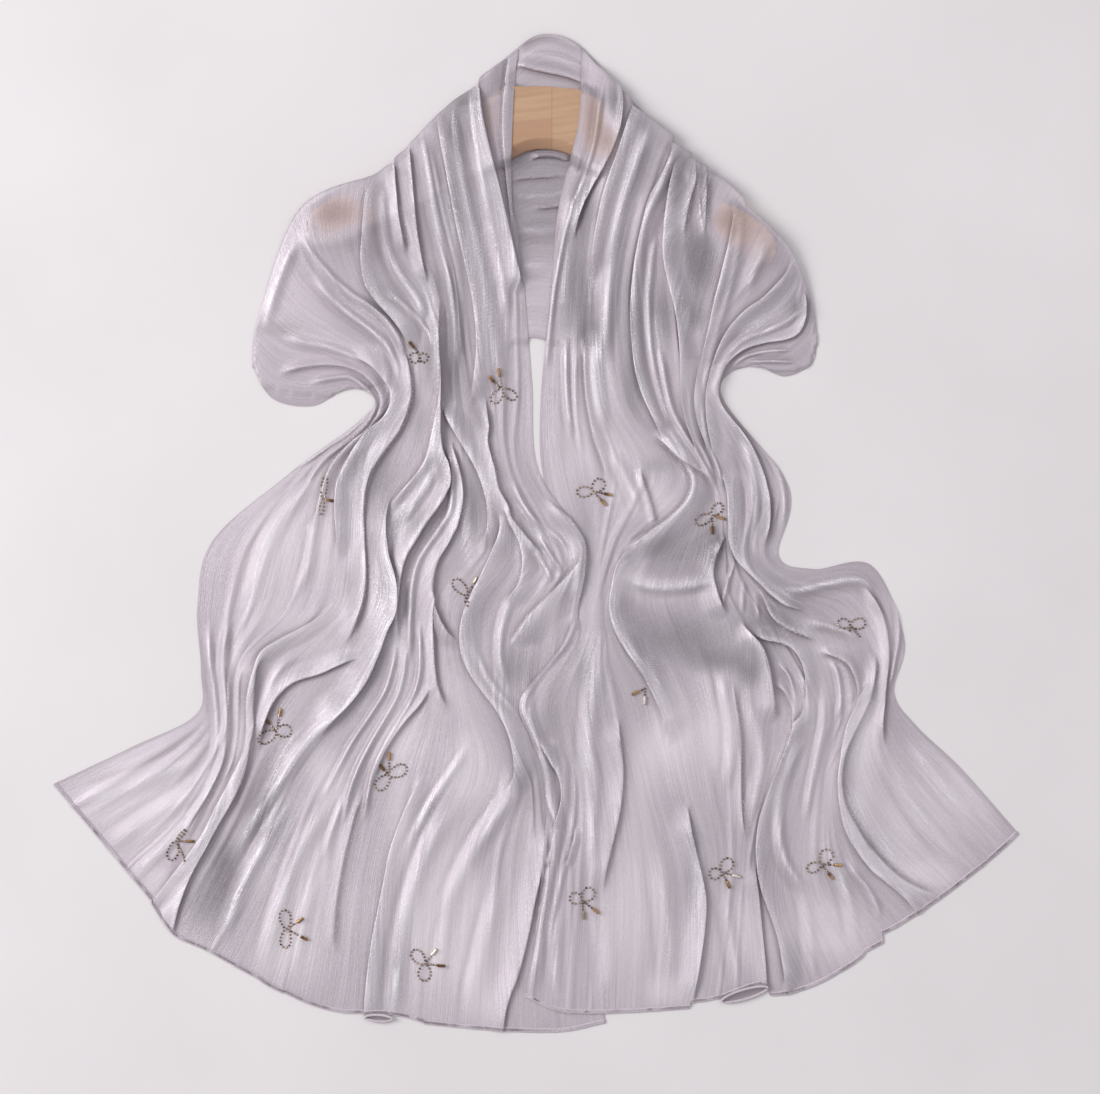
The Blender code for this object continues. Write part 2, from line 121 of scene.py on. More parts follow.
backSections = (  # upper edge, lower edge, left to right
    ("leftTip", (-246, 158), (-240, 133)),
    ("leftShoulder", (-206, 281), (-180, 126)),
    ("leftSlope", (-129, 324), (-119, 143)),
    ("leftNeck", (-64, 385), (-57, 163)),
    ("leftCollar", (-15, 430), (-6, 174)),
    ("middle", (10, 442), (10, 172)),
    ("rightCollar", (41, 430), (33, 170)),
    ("rightNeck", (92, 377), (92, 161)),
    ("rightSlope", (151, 319), (156, 154)),
    ("rightShoulder", (223, 250), (207, 147)),
    ("rightTip", (246, 172), (240, 150)),
)

# bulges (+) and notches (-) of the outline: the two ends, pixels of the photo, how far out, millimetres,
# to the left of the way from the one end to the other, and where the step is: 1 start, -1 end, 0 none
scallopColumns = ("name", "start", "end", "out", "step")
scallops = (
    ("rightNeckTop", (600, 62), (634, 101), 2.4, 0),
    ("rightNeckPleat", (635, 102), (673, 143), 4.6, -1),
    ("rightShoulderPleat", (675, 144), (691, 157), 4.2, -1),
    ("rightShoulderStep", (692, 158), (707, 171), 4.0, -1),
    ("rightArmTop", (708, 172), (746, 204), 4.4, 0),
    ("rightCap", (792, 266), (819, 340), 2.2, 0),
    ("hemWaveLeft", (262, 974), (356, 1016), -4.5, 0),
    ("hemStepRight", (691, 1014), (730, 1000), 6.0, 1),
    ("hemTurnRight", (724, 1002), (769, 1001), 11.0, -1),
    ("hemLowRight", (762, 994), (864, 950), -10.0, 0),
    ("cornerLip", (834, 964), (885, 938), -7.5, -1),
    ("cornerHem", (886, 936), (1016, 836), -4.5, 0),
    ("hemTurnLeft", (368, 1020), (424, 1020), 4.0, 0),
    ("cornerFoldLeft", (150, 905), (288, 988), -6.5, 0),
)

# folds, listed one by one: facing is the side of the crisp flank, wide and steep the reach of the soft
# and the crisp flank, rise the height, under how far the crest laps over, fade the run-out at each end,
# all millimetres, then the line of the crest as read off the photo
foldColumns = ("name", "facing", "wide", "steep", "rise", "under", "fade", "line")
leftFolds = (
    ("innerStrip", "left", 9, 4, 3, 3, 12, (
        (508, 50), (504, 85), (502, 120), (503, 150), (506, 185), (511, 226))),
    ("strapEdge", "right", 22, 5, 7, 6, 16, (
        (478, 70), (482, 110), (489, 145), (498, 180), (506, 212), (513, 242), (519, 268), (524, 292))),
    ("strapCrest", "both", 7, 7, 3, 0, 20, (
        (470, 85), (474, 130), (482, 180), (491, 225), (501, 275), (508, 320))),
    ("collarLine", "left", 20, 4, 7, 6, 30, (
        (437, 108), (440, 140), (446, 172), (452, 205), (458, 235), (465, 265), (471, 295), (475, 325),
        (476, 352), (473, 380), (471, 405))),
    ("panelRidge", "both", 9, 9, 3, 0, 22, (
        (452, 100), (456, 140), (463, 185), (474, 235), (485, 290), (492, 340), (492, 385))),
    ("narrowCrestOne", "right", 7, 3, 4, 3, 14, ((394, 150), (397, 190), (400, 220), (407, 256))),
    ("narrowCrestTwo", "right", 8, 3, 4, 3, 16, (
        (409, 140), (413, 180), (417, 225), (422, 258), (428, 286))),
    ("shoulderRidge", "both", 8, 8, 3, 0, 22, (
        (421, 130), (428, 170), (436, 220), (447, 270), (455, 320), (457, 370))),
    ("frontPanelEdge", "left", 20, 4, 8, 6, 26, (
        (370, 172), (365, 205), (363, 235), (361, 262), (365, 285), (376, 302), (390, 317), (402, 333),
        (412, 350))),
    ("frontPanelRidge", "both", 8, 8, 3, 0, 20, (
        (383, 180), (384, 220), (388, 250), (401, 276), (417, 300), (428, 325))),
    ("sleeveCrest", "both", 5, 6, 5, 0, 24, (
        (300, 232), (312, 253), (330, 275), (350, 293), (370, 306), (388, 322), (400, 342), (405, 365))),
    ("sleeveCrestLow", "both", 6, 6, 3, 0, 24, (
        (312, 275), (330, 297), (350, 314), (370, 329), (387, 346), (397, 368), (399, 392))),
    ("sleeveHollowEdge", "both", 4, 4, 3, 0, 14, (
        (380, 290), (398, 300), (416, 316), (429, 334), (433, 350))),
    ("puffLine", "both", 6, 6, 2.5, 0, 20, ((282, 334), (305, 342), (330, 347), (352, 356), (368, 368))),
    ("sleeveBandEdge", "left", 14, 4, 6, 5, 30, (
        (345, 352), (365, 362), (380, 376), (390, 395), (384, 416), (367, 433), (352, 450), (343, 465),
        (336, 482), (334, 503), (335, 528), (339, 562))),
    ("sleeveBandInner", "right", 14, 4, 4.6, 3, 30, (
        (398, 342), (408, 362), (412, 385), (410, 405), (400, 430), (386, 450), (373, 470), (366, 490),
        (364, 512), (364, 540), (366, 570), (365, 592), (360, 612), (352, 632), (342, 645))),
    ("puffRim", "left", 6, 3, 4, 2, 22, (
        (275, 374), (310, 367), (335, 366), (355, 371), (370, 382), (379, 397), (377, 412), (366, 428),
        (350, 441), (336, 456), (327, 470), (320, 490), (314, 513), (305, 537))),
    ("puffStrand", "both", 4, 4, 3, 0, 20, (
        (305, 383), (330, 378), (350, 377), (365, 388), (374, 402), (371, 416), (360, 430), (345, 443),
        (328, 455), (315, 470), (303, 489))),
    ("outerStrand", "both", 4, 4, 2.5, 0, 20, (
        (335, 397), (350, 391), (362, 395), (369, 406), (364, 418), (350, 431), (333, 443), (313, 456),
        (288, 470), (262, 490))),
    ("puffTopLine", "both", 8, 8, 2.5, 0, 24, ((262, 330), (270, 300), (285, 262), (300, 236))),
    ("sideWave", "both", 12, 12, 3, 0, 40, ((318, 470), (290, 505), (268, 540), (255, 580), (245, 620))),
    ("sideStreak", "both", 7, 7, 3, 0, 30, ((322, 495), (314, 530), (308, 565), (295, 600))),
    ("tallPleatOuter", "left", 10, 4, 4.5, 4, 30, (
        (335, 604), (318, 617), (300, 628), (275, 641), (257, 654), (247, 672), (242, 700), (241, 730),
        (237, 755), (226, 782), (210, 812), (195, 840), (175, 870), (152, 902), (144, 914))),
    ("tallPleatInner", "right", 12, 4, 4, 5, 26, (
        (266, 648), (257, 668), (254, 700), (252, 725), (249, 750), (244, 775), (233, 800), (218, 826),
        (204, 852), (190, 878), (180, 903), (172, 932), (168, 945))),
    ("flankPleat", "right", 6, 4, 3, 1, 30, (
        (230, 615), (228, 640), (227, 670), (228, 700), (229, 735), (224, 765), (212, 792), (196, 818),
        (178, 842))),
    ("flankPleatTwo", "both", 4, 4, 2.4, 0, 24, (
        (244, 660), (238, 680), (237, 705), (236, 735), (231, 762), (220, 787))),
    ("outerFlank", "both", 6, 6, 2.5, 0, 30, ((206, 620), (209, 660), (214, 700), (216, 735), (210, 765))),
    ("hipLine", "right", 10, 4, 5, 4, 24, (
        (362, 655), (340, 665), (318, 675), (298, 681), (284, 690), (272, 705), (263, 727), (256, 752))),
    ("kneeLine", "both", 7, 7, 3, 0, 30, ((300, 650), (280, 668), (268, 690), (262, 715))),
    ("sideCrestEdge", "right", 17, 4, 8, 7, 40, (
        (393, 490), (387, 508), (386, 530), (389, 558), (392, 588), (391, 612), (386, 635), (378, 658),
        (367, 682), (352, 702), (335, 720), (312, 745))),
    ("sideCrestSoft", "both", 10, 10, 3, 0, 50, (
        (352, 690), (325, 722), (300, 752), (280, 780), (262, 806), (245, 835), (228, 865))),
    ("middleCrestOuter", "left", 9, 4, 5, 4, 24, (
        (436, 296), (436, 335), (435, 375), (432, 405), (428, 435), (425, 458), (413, 477), (400, 492),
        (389, 510))),
    ("middleCrestInner", "right", 12, 4, 7, 5, 34, (
        (438, 300), (439, 340), (441, 375), (441, 405), (441, 435), (444, 455), (449, 478), (447, 493),
        (438, 508), (428, 522), (416, 541), (407, 556), (402, 572), (399, 592), (397, 615), (398, 645))),
    ("middleLobe", "both", 12, 12, 4, 0, 24, ((436, 455), (428, 480), (414, 503), (400, 528))),
    ("cordOne", "both", 5, 5, 4, 0, 26, (
        (445, 440), (451, 465), (452, 490), (450, 510), (440, 528), (428, 545), (418, 562), (412, 585),
        (410, 610), (409, 640), (408, 665))),
    ("cordTwo", "right", 10, 4, 5, 5, 22, (
        (449, 438), (457, 460), (462, 480), (463, 500), (458, 525), (448, 545), (439, 560), (434, 580),
        (434, 600), (440, 618), (449, 633), (460, 646))),
    ("diagonalOuter", "left", 14, 4, 6, 5, 26, (
        (440, 398), (446, 418), (455, 434), (466, 452), (476, 470), (483, 490), (487, 510), (486, 532),
        (478, 552))),
    ("diagonalInner", "right", 12, 3.5, 5, 4, 24, (
        (484, 395), (489, 425), (488, 440), (491, 455), (496, 472), (500, 490), (508, 504), (519, 518),
        (527, 531), (537, 547), (548, 562))),
    ("hollowEdge", "left", 12, 4, 6, 5, 18, (
        (502, 503), (509, 519), (516, 534), (520, 548), (522, 562), (519, 580), (511, 594), (502, 607))),
    ("thighCrest", "left", 15, 4, 6, 6, 30, (
        (500, 505), (499, 530), (489, 556), (479, 577), (470, 595), (462, 615), (459, 638), (462, 658),
        (471, 677), (484, 695), (498, 714), (508, 735), (513, 758), (513, 778), (506, 798))),
    ("thighCrestSoft", "both", 13, 12, 3, 0, 40, (
        (512, 765), (508, 795), (495, 818), (478, 843), (463, 870), (450, 900), (440, 935))),
    ("thighCordTwo", "both", 4, 4, 3, 0, 22, ((474, 645), (484, 670), (496, 690), (510, 706), (521, 721))),
    ("crumpleOne", "both", 4, 4, 3, 0, 12, ((524, 538), (536, 553), (546, 569), (554, 586))),
    ("crumpleTwo", "both", 3.5, 3.5, 3, 0, 12, ((538, 535), (548, 551), (558, 566), (564, 574))),
    ("crumpleThree", "both", 4, 4, 2.5, 0, 12, ((548, 528), (560, 540), (570, 552))),
    ("lapelCrumple", "both", 5, 5, 3, 0, 16, ((512, 480), (520, 500), (532, 517), (548, 532))),
    ("lobeTurn", "left", 22, 3.5, 4.5, 2.5, 14, (
        (585, 548), (578, 562), (563, 580), (546, 597), (530, 613), (518, 630), (513, 646))),
    ("lobeEdge", "right", 16, 3, 6, 0, 24, (
        (545, 500), (566, 515), (580, 530), (585, 545), (586, 562), (585, 580), (581, 596), (575, 612))),
    ("lobeBand", "both", 7, 7, 3, 0, 20, ((514, 590), (506, 612), (500, 637), (500, 662), (506, 688))),
    ("innerFoldLow", "right", 13, 4, 4, 5, 30, (
        (549, 820), (544, 862), (536, 900), (528, 940), (519, 975), (508, 1005), (503, 1034), (502, 1050))),
    ("strandOne", "both", 4, 4, 3.5, 0, 24, (
        (418, 620), (420, 650), (419, 675), (412, 698), (399, 720), (386, 742), (375, 765), (368, 792),
        (363, 825))),
    ("strandTwo", "both", 4, 4, 3, 0, 24, (
        (405, 640), (404, 668), (398, 694), (385, 718), (371, 742), (358, 768), (348, 798), (342, 830))),
    ("strandThree", "right", 7, 3, 4, 3, 22, (
        (433, 683), (420, 705), (405, 722), (392, 740), (381, 760), (373, 785))),
    ("strandFour", "both", 4, 4, 3, 0, 24, (
        (395, 640), (393, 662), (385, 690), (370, 715), (352, 742), (337, 770), (322, 800))),
    ("cordThree", "right", 8, 3, 4, 3, 20, (
        (435, 590), (433, 620), (434, 650), (436, 675), (441, 695), (450, 714))),
    ("hemCrisp", "right", 9, 3, 1.6, 0.6, 24, (
        (366, 788), (357, 815), (350, 842), (345, 862), (341, 885), (338, 905), (336, 930), (332, 960))),
    ("hemStreak", "both", 5, 5, 2, 0, 20, ((345, 795), (335, 820), (328, 842), (324, 865))),
    ("lightStreak", "both", 6, 6, 2.5, 0, 30, (
        (470, 740), (460, 760), (445, 782), (431, 803), (418, 826), (407, 848), (399, 872))),
    ("hemBand", "left", 16, 4, 4, 6, 34, (
        (424, 772), (410, 796), (399, 822), (389, 850), (383, 880), (377, 910), (371, 940), (367, 970),
        (364, 1000), (364, 1020), (364, 1035))),
    ("hemBandTwo", "both", 12, 12, 2.4, 0, 40, (
        (455, 800), (440, 825), (425, 855), (412, 890), (402, 930), (396, 970), (393, 1010), (392, 1030))),
    ("hemWaveOne", "both", 14, 12, 2.4, 0, 50, (
        (500, 870), (492, 910), (482, 950), (474, 985), (470, 1020), (468, 1040))),
    ("hemWaveTwo", "both", 10, 10, 2, 0, 40, ((470, 850), (455, 885), (446, 925), (440, 965), (437, 1000))),
    ("cornerWaveOne", "both", 15, 15, 2.2, 0, 40, (
        (208, 735), (182, 762), (142, 781), (98, 798), (70, 808))),
    ("cornerWaveTwo", "both", 13, 13, 2.0, 0, 40, (
        (212, 768), (186, 795), (151, 816), (118, 838), (98, 852))),
    ("cornerWaveThree", "both", 11, 11, 1.6, 0, 36, (
        (205, 802), (184, 828), (158, 852), (134, 876), (122, 888))),
    ("bandWaveOne", "both", 12, 12, 2.6, 0, 50, (
        (300, 790), (275, 825), (255, 860), (238, 895), (226, 930), (222, 955))),
    ("bandWaveTwo", "both", 12, 12, 2.6, 0, 50, (
        (330, 800), (305, 840), (288, 880), (275, 920), (266, 955), (262, 985))),
    ("bandWaveThree", "both", 9, 9, 2, 0, 40, ((318, 870), (306, 910), (298, 950), (292, 990))),
)
rightFolds = (
    ("innerCrest", "both", 5, 5, 4, 0, 26, (
        (603, 80), (599, 110), (594, 145), (584, 177), (573, 203), (565, 232), (558, 265), (552, 300),
        (548, 338), (545, 372))),
    ("stripEdge", "right", 14, 4, 6, 5, 24, (
        (617, 76), (623, 98), (621, 125), (614, 147), (603, 170), (590, 192), (580, 214), (573, 242))),
    ("panelEdge", "left", 20, 4, 8, 6, 24, (
        (638, 88), (627, 122), (618, 150), (609, 175), (601, 200), (596, 225), (592, 250), (589, 280))),
    ("panelCrest", "both", 12, 12, 4, 0, 34, (
        (655, 118), (640, 150), (626, 190), (615, 235), (608, 285), (604, 335), (600, 375))),
    ("panelCrestLow", "both", 9, 9, 4, 0, 26, ((598, 330), (597, 370), (601, 405), (607, 435))),
    ("sideStripEdge", "left", 13, 4, 6, 5, 24, (
        (677, 134), (668, 160), (659, 180), (649, 198), (643, 218), (638, 240), (634, 262), (631, 290),
        (630, 318), (632, 345), (635, 370), (641, 392), (650, 412), (659, 430), (669, 447))),
    ("sideStripCrest", "both", 6, 6, 3, 0, 22, (
        (655, 230), (650, 270), (648, 310), (651, 350), (658, 385), (667, 412), (678, 432))),
    ("waistEdge", "left", 10, 4, 8, 6, 26, (
        (676, 158), (669, 185), (664, 215), (662, 240), (663, 262), (668, 285), (674, 308), (678, 335),
        (680, 365), (681, 395), (685, 420), (693, 441), (703, 458))),
    ("basinEdge", "right", 11, 4, 3, 2, 28, ((693, 150), (697, 178), (692, 200), (687, 222), (683, 250))),
    ("basinTip", "both", 3, 3, 2.5, 0, 10, ((698, 196), (700, 215), (704, 240))),
    ("shoulderEdge", "right", 11, 4, 3, 2, 28, ((706, 158), (708, 190), (707, 212), (703, 242))),
    ("sleevePanelEdge", "left", 13, 4, 6, 5, 24, (
        (736, 196), (731, 225), (726, 250), (720, 275), (714, 300), (708, 328), (702, 355), (696, 380),
        (694, 400), (697, 420), (704, 440), (713, 460))),
    ("sleeveCrest", "both", 6, 6, 3, 0, 20, (
        (741, 205), (739, 235), (734, 265), (726, 300), (716, 335), (708, 370), (704, 400))),
    ("capHollow", "right", 10, 7, 2, 0, 18, ((768, 234), (760, 256), (752, 275), (745, 297))),
    ("capCrest", "left", 8, 3.5, 5, 4, 20, (
        (797, 258), (788, 270), (776, 284), (762, 298), (745, 310), (730, 326), (719, 345), (711, 368),
        (706, 392), (706, 415), (710, 440), (716, 462))),
    ("capBand", "both", 7, 6, 4, 0, 20, (
        (806, 306), (785, 322), (765, 331), (747, 338), (734, 348), (724, 362), (717, 382), (714, 405))),
    ("capLine", "right", 8, 3, 4, 3, 22, (
        (804, 286), (807, 306), (805, 322), (798, 334), (785, 340), (765, 343), (746, 349), (732, 359),
        (723, 373), (719, 390), (722, 404), (732, 418), (742, 430), (752, 445), (760, 462), (767, 482),
        (771, 505), (770, 527), (764, 548))),
    ("capStrand", "both", 3, 3, 2, 0, 14, ((795, 350), (778, 350), (760, 352), (744, 357), (733, 366))),
    ("capStrandTwo", "both", 3, 3, 2, 0, 14, ((800, 362), (780, 361), (762, 361), (745, 362))),
    ("waistCordOne", "both", 5, 5, 4, 0, 22, (
        (660, 345), (665, 380), (672, 410), (684, 433), (697, 452), (708, 472), (717, 492))),
    ("waistCordTwo", "both", 3.5, 3.5, 3, 0, 18, (
        (690, 380), (690, 410), (696, 436), (707, 458), (717, 480))),
    ("waistCordThree", "both", 3.5, 3.5, 3, 0, 18, (
        (703, 395), (704, 422), (710, 447), (719, 470), (724, 492))),
    ("pinchLine", "left", 6, 3, 3, 2, 16, ((668, 448), (680, 456), (694, 465), (708, 476), (717, 487))),
    ("outerStripBand", "both", 10, 10, 4, 0, 30, (
        (738, 430), (748, 455), (754, 485), (755, 515), (750, 540))),
    ("outerEdgeBand", "both", 5, 5, 2.5, 0, 26, (
        (762, 440), (775, 462), (783, 485), (785, 510), (781, 535))),
    ("waveTop", "left", 20, 4, 7, 3, 22, (
        (652, 431), (671, 451), (684, 465), (691, 482), (686, 499), (672, 514), (655, 527), (641, 538),
        (627, 549))),
    ("waveBottom", "left", 17, 4, 9, 7, 24, (
        (634, 543), (621, 556), (614, 572), (610, 592), (609, 610), (613, 628), (622, 645), (634, 663),
        (646, 682), (656, 702), (664, 722), (672, 746))),
    ("waveBandEdge", "both", 6, 6, 3, 0, 24, ((643, 640), (652, 668), (661, 695), (669, 720), (675, 745))),
    ("thinCrease", "right", 5, 2, 2.5, 1.5, 10, ((640, 468), (648, 492), (654, 512), (657, 528))),
    ("panelFold", "left", 9, 3, 3.5, 2.5, 22, (
        (583, 335), (584, 375), (587, 405), (593, 435), (602, 462), (611, 490))),
    ("innerLine", "both", 5, 5, 3, 0, 20, ((566, 335), (566, 370), (568, 405), (573, 440))),
    ("innerLineTwo", "both", 4, 4, 2, 0, 18, ((576, 350), (575, 385), (577, 420), (583, 455))),
    ("panelStreak", "both", 9, 9, 3.5, 0, 22, ((608, 445), (622, 470), (634, 495), (642, 518))),
    ("bellyBand", "left", 26, 6, 5, 0, 26, ((618, 574), (638, 584), (660, 589), (690, 587), (722, 578))),
    ("hipTriangle", "right", 14, 3, 5, 4, 14, (
        (727, 534), (718, 554), (714, 572), (717, 588), (722, 603), (729, 617))),
    ("hipRib", "both", 3, 3, 3, 0, 8, ((735, 562), (729, 580), (724, 598), (722, 607))),
    ("hipRibTwo", "both", 3, 3, 2.5, 0, 10, ((745, 578), (743, 597), (743, 614))),
    ("hipRibThree", "both", 3, 3, 2.5, 0, 10, ((757, 590), (757, 605), (760, 622))),
    ("strandEdge", "left", 14, 3, 6, 5, 20, (
        (722, 470), (727, 495), (728, 520), (729, 542), (736, 560), (748, 573), (760, 584), (772, 596),
        (787, 606), (806, 611))),
    ("crescent", "left", 7, 3, 4, 3, 14, (
        (761, 588), (766, 605), (773, 618), (785, 628), (800, 635), (820, 641))),
    ("brimCrest", "both", 5, 5, 3, 0, 22, ((800, 622), (822, 625), (838, 629), (852, 635), (864, 643))),
    ("brimBandOuter", "right", 6, 3, 4, 3, 24, (
        (862, 582), (874, 597), (884, 616), (889, 638), (890, 660), (888, 680), (886, 702), (884, 724),
        (885, 750))),
    ("brimBandRim", "both", 4, 4, 2.5, 0, 20, ((893, 592), (899, 615), (899, 640), (894, 668), (889, 695))),
    ("brimRoof", "both", 8, 8, 3, 0, 24, ((775, 588), (800, 590), (830, 583), (858, 580), (880, 592))),
    ("flankLeft", "left", 13, 4, 7, 6, 30, (
        (869, 672), (862, 695), (850, 716), (842, 738), (837, 760), (835, 782), (838, 808), (846, 833),
        (859, 855), (873, 872), (890, 886), (905, 899), (918, 913), (926, 922))),
    ("flankRight", "right", 9, 4, 4, 3, 26, (
        (876, 650), (877, 672), (872, 698), (861, 722), (850, 745), (844, 765), (843, 785), (847, 805),
        (856, 823), (868, 842), (885, 862), (903, 878), (925, 890), (948, 899))),
    ("slitFold", "left", 7, 3, 4, 3, 12, (
        (819, 652), (834, 657), (846, 663), (854, 675), (858, 692), (855, 710))),
    ("slitStreak", "both", 4, 4, 3, 0, 14, ((831, 658), (838, 675), (841, 698), (839, 722))),
    ("bigPanelEdge", "right", 15, 3, 6, 5, 18, (
        (740, 622), (756, 638), (765, 650), (770, 665), (773, 682), (776, 702), (778, 724))),
    ("arcFold", "left", 10, 3, 5, 4, 16, (
        (750, 633), (766, 641), (782, 644), (795, 652), (803, 667), (806, 687), (804, 707), (797, 727),
        (790, 745))),
    ("arcRib", "left", 5, 3, 3, 2, 12, ((775, 682), (784, 693), (791, 707), (794, 724), (792, 742))),
    ("arcRibTwo", "both", 3, 3, 2, 0, 12, ((778, 662), (789, 676), (795, 695), (797, 712))),
    ("pleatEdge", "left", 12, 4, 6, 6, 26, (
        (795, 708), (791, 732), (783, 755), (774, 777), (766, 798), (759, 820), (756, 845), (757, 870),
        (762, 893), (770, 915), (778, 940), (782, 962), (786, 990), (788, 1004))),
    ("hemFoldEdge", "right", 9, 3, 3, 4, 18, (
        (755, 862), (760, 900), (763, 930), (766, 960), (768, 985), (770, 1000))),
    ("pleatSoft", "both", 8, 8, 3.5, 0, 30, (
        (806, 730), (793, 758), (783, 785), (779, 812), (780, 838), (785, 860), (797, 880), (812, 898))),
    ("kneeStreak", "both", 9, 8, 3.4, 0, 26, ((720, 668), (726, 700), (731, 730), (731, 760), (728, 792))),
    ("kneeEdge", "right", 8, 3, 2, 1.5, 24, (
        (732, 678), (739, 708), (743, 740), (743, 780), (744, 812), (747, 845))),
    ("hemEdge", "right", 15, 4, 5, 6, 30, (
        (686, 800), (693, 835), (699, 860), (704, 882), (707, 903), (706, 925), (703, 950), (699, 975),
        (694, 1000), (692, 1014))),
    ("centreLine", "right", 15, 3, 4, 5, 26, (
        (617, 715), (621, 740), (624, 770), (622, 803), (617, 830), (611, 855), (606, 875), (603, 895))),
    ("borderRoll", "left", 14, 3, 4, 0, 34, (
        (574, 616), (562, 638), (547, 651), (534, 663), (525, 678), (521, 695), (523, 713), (531, 732),
        (538, 748), (541, 765), (543, 785), (548, 805), (555, 824), (552, 845), (549, 865), (545, 892),
        (540, 922), (535, 952), (530, 980), (528, 1004))),
    ("lensEdge", "left", 10, 3, 4, 5, 12, (
        (538, 742), (550, 763), (558, 777), (561, 795), (558, 812), (550, 835))),
    ("innerBorder", "both", 5, 5, 3, 0, 26, ((531, 690), (530, 715), (537, 738), (546, 757))),
    ("hemInnerRib", "left", 5, 3, 3, 2, 14, ((577, 825), (570, 850), (564, 872))),
    ("centreRib", "both", 6, 6, 1.8, 0, 30, (
        (573, 760), (574, 800), (570, 840), (560, 880), (552, 920), (547, 960))),
    ("centreWave", "both", 14, 12, 2.4, 0, 50, (
        (600, 640), (592, 690), (588, 740), (590, 790), (592, 840), (588, 890))),
    ("hemWaveOne", "both", 14, 14, 2.4, 0, 50, (
        (600, 900), (606, 940), (606, 975), (602, 1010), (601, 1030))),
    ("hemWaveTwo", "both", 14, 14, 2.4, 0, 50, (
        (655, 840), (662, 890), (668, 940), (668, 985), (666, 1012))),
    ("hemWaveThree", "both", 10, 10, 2, 0, 40, ((560, 900), (556, 940), (555, 975), (556, 1010))),
    ("hemWaveFour", "both", 9, 9, 2, 0, 40, ((725, 890), (730, 930), (735, 965), (740, 1000))),
    ("hipCrest", "both", 10, 10, 2.6, 0, 36, ((745, 690), (757, 730), (762, 765), (755, 800), (748, 840))),
    ("lowStreak", "both", 5, 5, 3.5, 0, 20, ((846, 858), (858, 876), (870, 892), (878, 908), (881, 925))),
    ("lowWave", "both", 10, 10, 2.2, 0, 36, ((820, 840), (838, 870), (850, 905), (856, 938), (858, 955))),
    ("lowWaveTwo", "both", 10, 10, 2.2, 0, 40, ((800, 880), (808, 920), (812, 955), (813, 985))),
    ("cornerWaveOne", "both", 12, 12, 2, 0, 40, (
        (890, 760), (905, 790), (925, 820), (948, 848), (965, 868))),
    ("cornerWaveTwo", "both", 12, 12, 2, 0, 40, ((905, 740), (930, 770), (955, 800), (985, 830))),
    ("crestRib", "both", 4, 4, 3, 0, 16, ((803, 672), (808, 695), (808, 715), (802, 738))),
    ("backRib", "both", 6, 6, 2.2, 0, 24, ((822, 690), (824, 720), (818, 755), (811, 790), (806, 825))),
)
backFolds = (
    ("collarLip", "both", 5, 4, 2.5, 0, 12, ((516, 48), (530, 38), (548, 34), (566, 39), (584, 50))),
    ("collarCrease", "left", 9, 3, 3, 3, 12, (
        (512, 62), (528, 68), (545, 72), (560, 75), (574, 79), (590, 86))),
    ("collarBand", "both", 6, 6, 1.2, 0, 22, ((510, 54), (530, 53), (552, 56), (572, 62), (590, 70))),
    ("gatherOne", "left", 6, 1.4, 4.2, 6, 8, ((530, 160), (540, 158), (552, 158), (562, 160), (572, 164))),
    ("gatherTwo", "left", 6, 2, 1.2, 2, 22, ((500, 180), (520, 179), (545, 177), (575, 174))),
    ("gatherThree", "both", 6, 6, 0.7, 0, 22, ((507, 192), (530, 195), (550, 194), (580, 188))),
    ("gatherFour", "left", 6, 2, 1.6, 2.5, 14, ((530, 207), (545, 208), (560, 206), (580, 198))),
    ("gatherFive", "both", 9, 9, 0.8, 0, 30, ((505, 226), (528, 229), (546, 230), (565, 226))),
    ("gatherSix", "both", 9, 9, 0.7, 0, 30, ((515, 262), (532, 265), (552, 264))),
)

curves = {"tightest": 1.6, "finePerRow": 40}


def slopes(points):
    steps = np.diff(points, axis=0)
    lengths = np.linalg.norm(steps, axis=-1, keepdims=True)
    inner = 0.5 * (steps[1:] + steps[:-1])
    tangents = np.concatenate([steps[:1], inner, steps[-1:]])
    least = np.concatenate([lengths[:1], np.minimum(lengths[1:], lengths[:-1]), lengths[-1:]])
    size = np.maximum(np.linalg.norm(tangents, axis=-1, keepdims=True), 1e-9)
    return tangents * np.minimum(1.0, curves["tightest"] * least / size)


def along(points, places):
    # the smooth curve through the rows, at places counted in rows
    points = np.asarray(points, float)
    tangents = slopes(points)
    places = np.asarray(places, float)
    i = np.clip(np.floor(places).astype(int), 0, len(points) - 2)
    t = (places - i).reshape((len(places),) + (1,) * (points.ndim - 1))
    return (
        (2 * t**3 - 3 * t**2 + 1) * points[i]
        + (t**3 - 2 * t**2 + t) * tangents[i]
        + (3 * t**2 - 2 * t**3) * points[i + 1]
        + (t**3 - t**2) * tangents[i + 1]
    )


def evenPlaces(points, count):
    # places on that curve, evenly far apart
    rows = len(points) - 1
    fine = np.linspace(0, rows, curves["finePerRow"] * rows + 1)
    steps = np.linalg.norm(np.diff(along(points, fine), axis=0), axis=-1)
    steps = steps.reshape(len(steps), -1).mean(axis=1)
    length = np.concatenate([[0], np.cumsum(steps)])
    return np.interp(np.linspace(0, length[-1], count), length, fine)


def runAlong(points):
    # how far each point lies from the first, along the line, for one line or for each row of a grid
    lengths = np.cumsum(np.linalg.norm(np.diff(points, axis=0), axis=-1), axis=0)
    return np.concatenate([np.zeros_like(lengths[:1]), lengths])


def smoothStep(x):
    x = np.clip(x, 0.0, 1.0)
    return x * x * (3 - 2 * x)


def bell(offset, half):
    return np.exp(-((offset / half) ** 2))


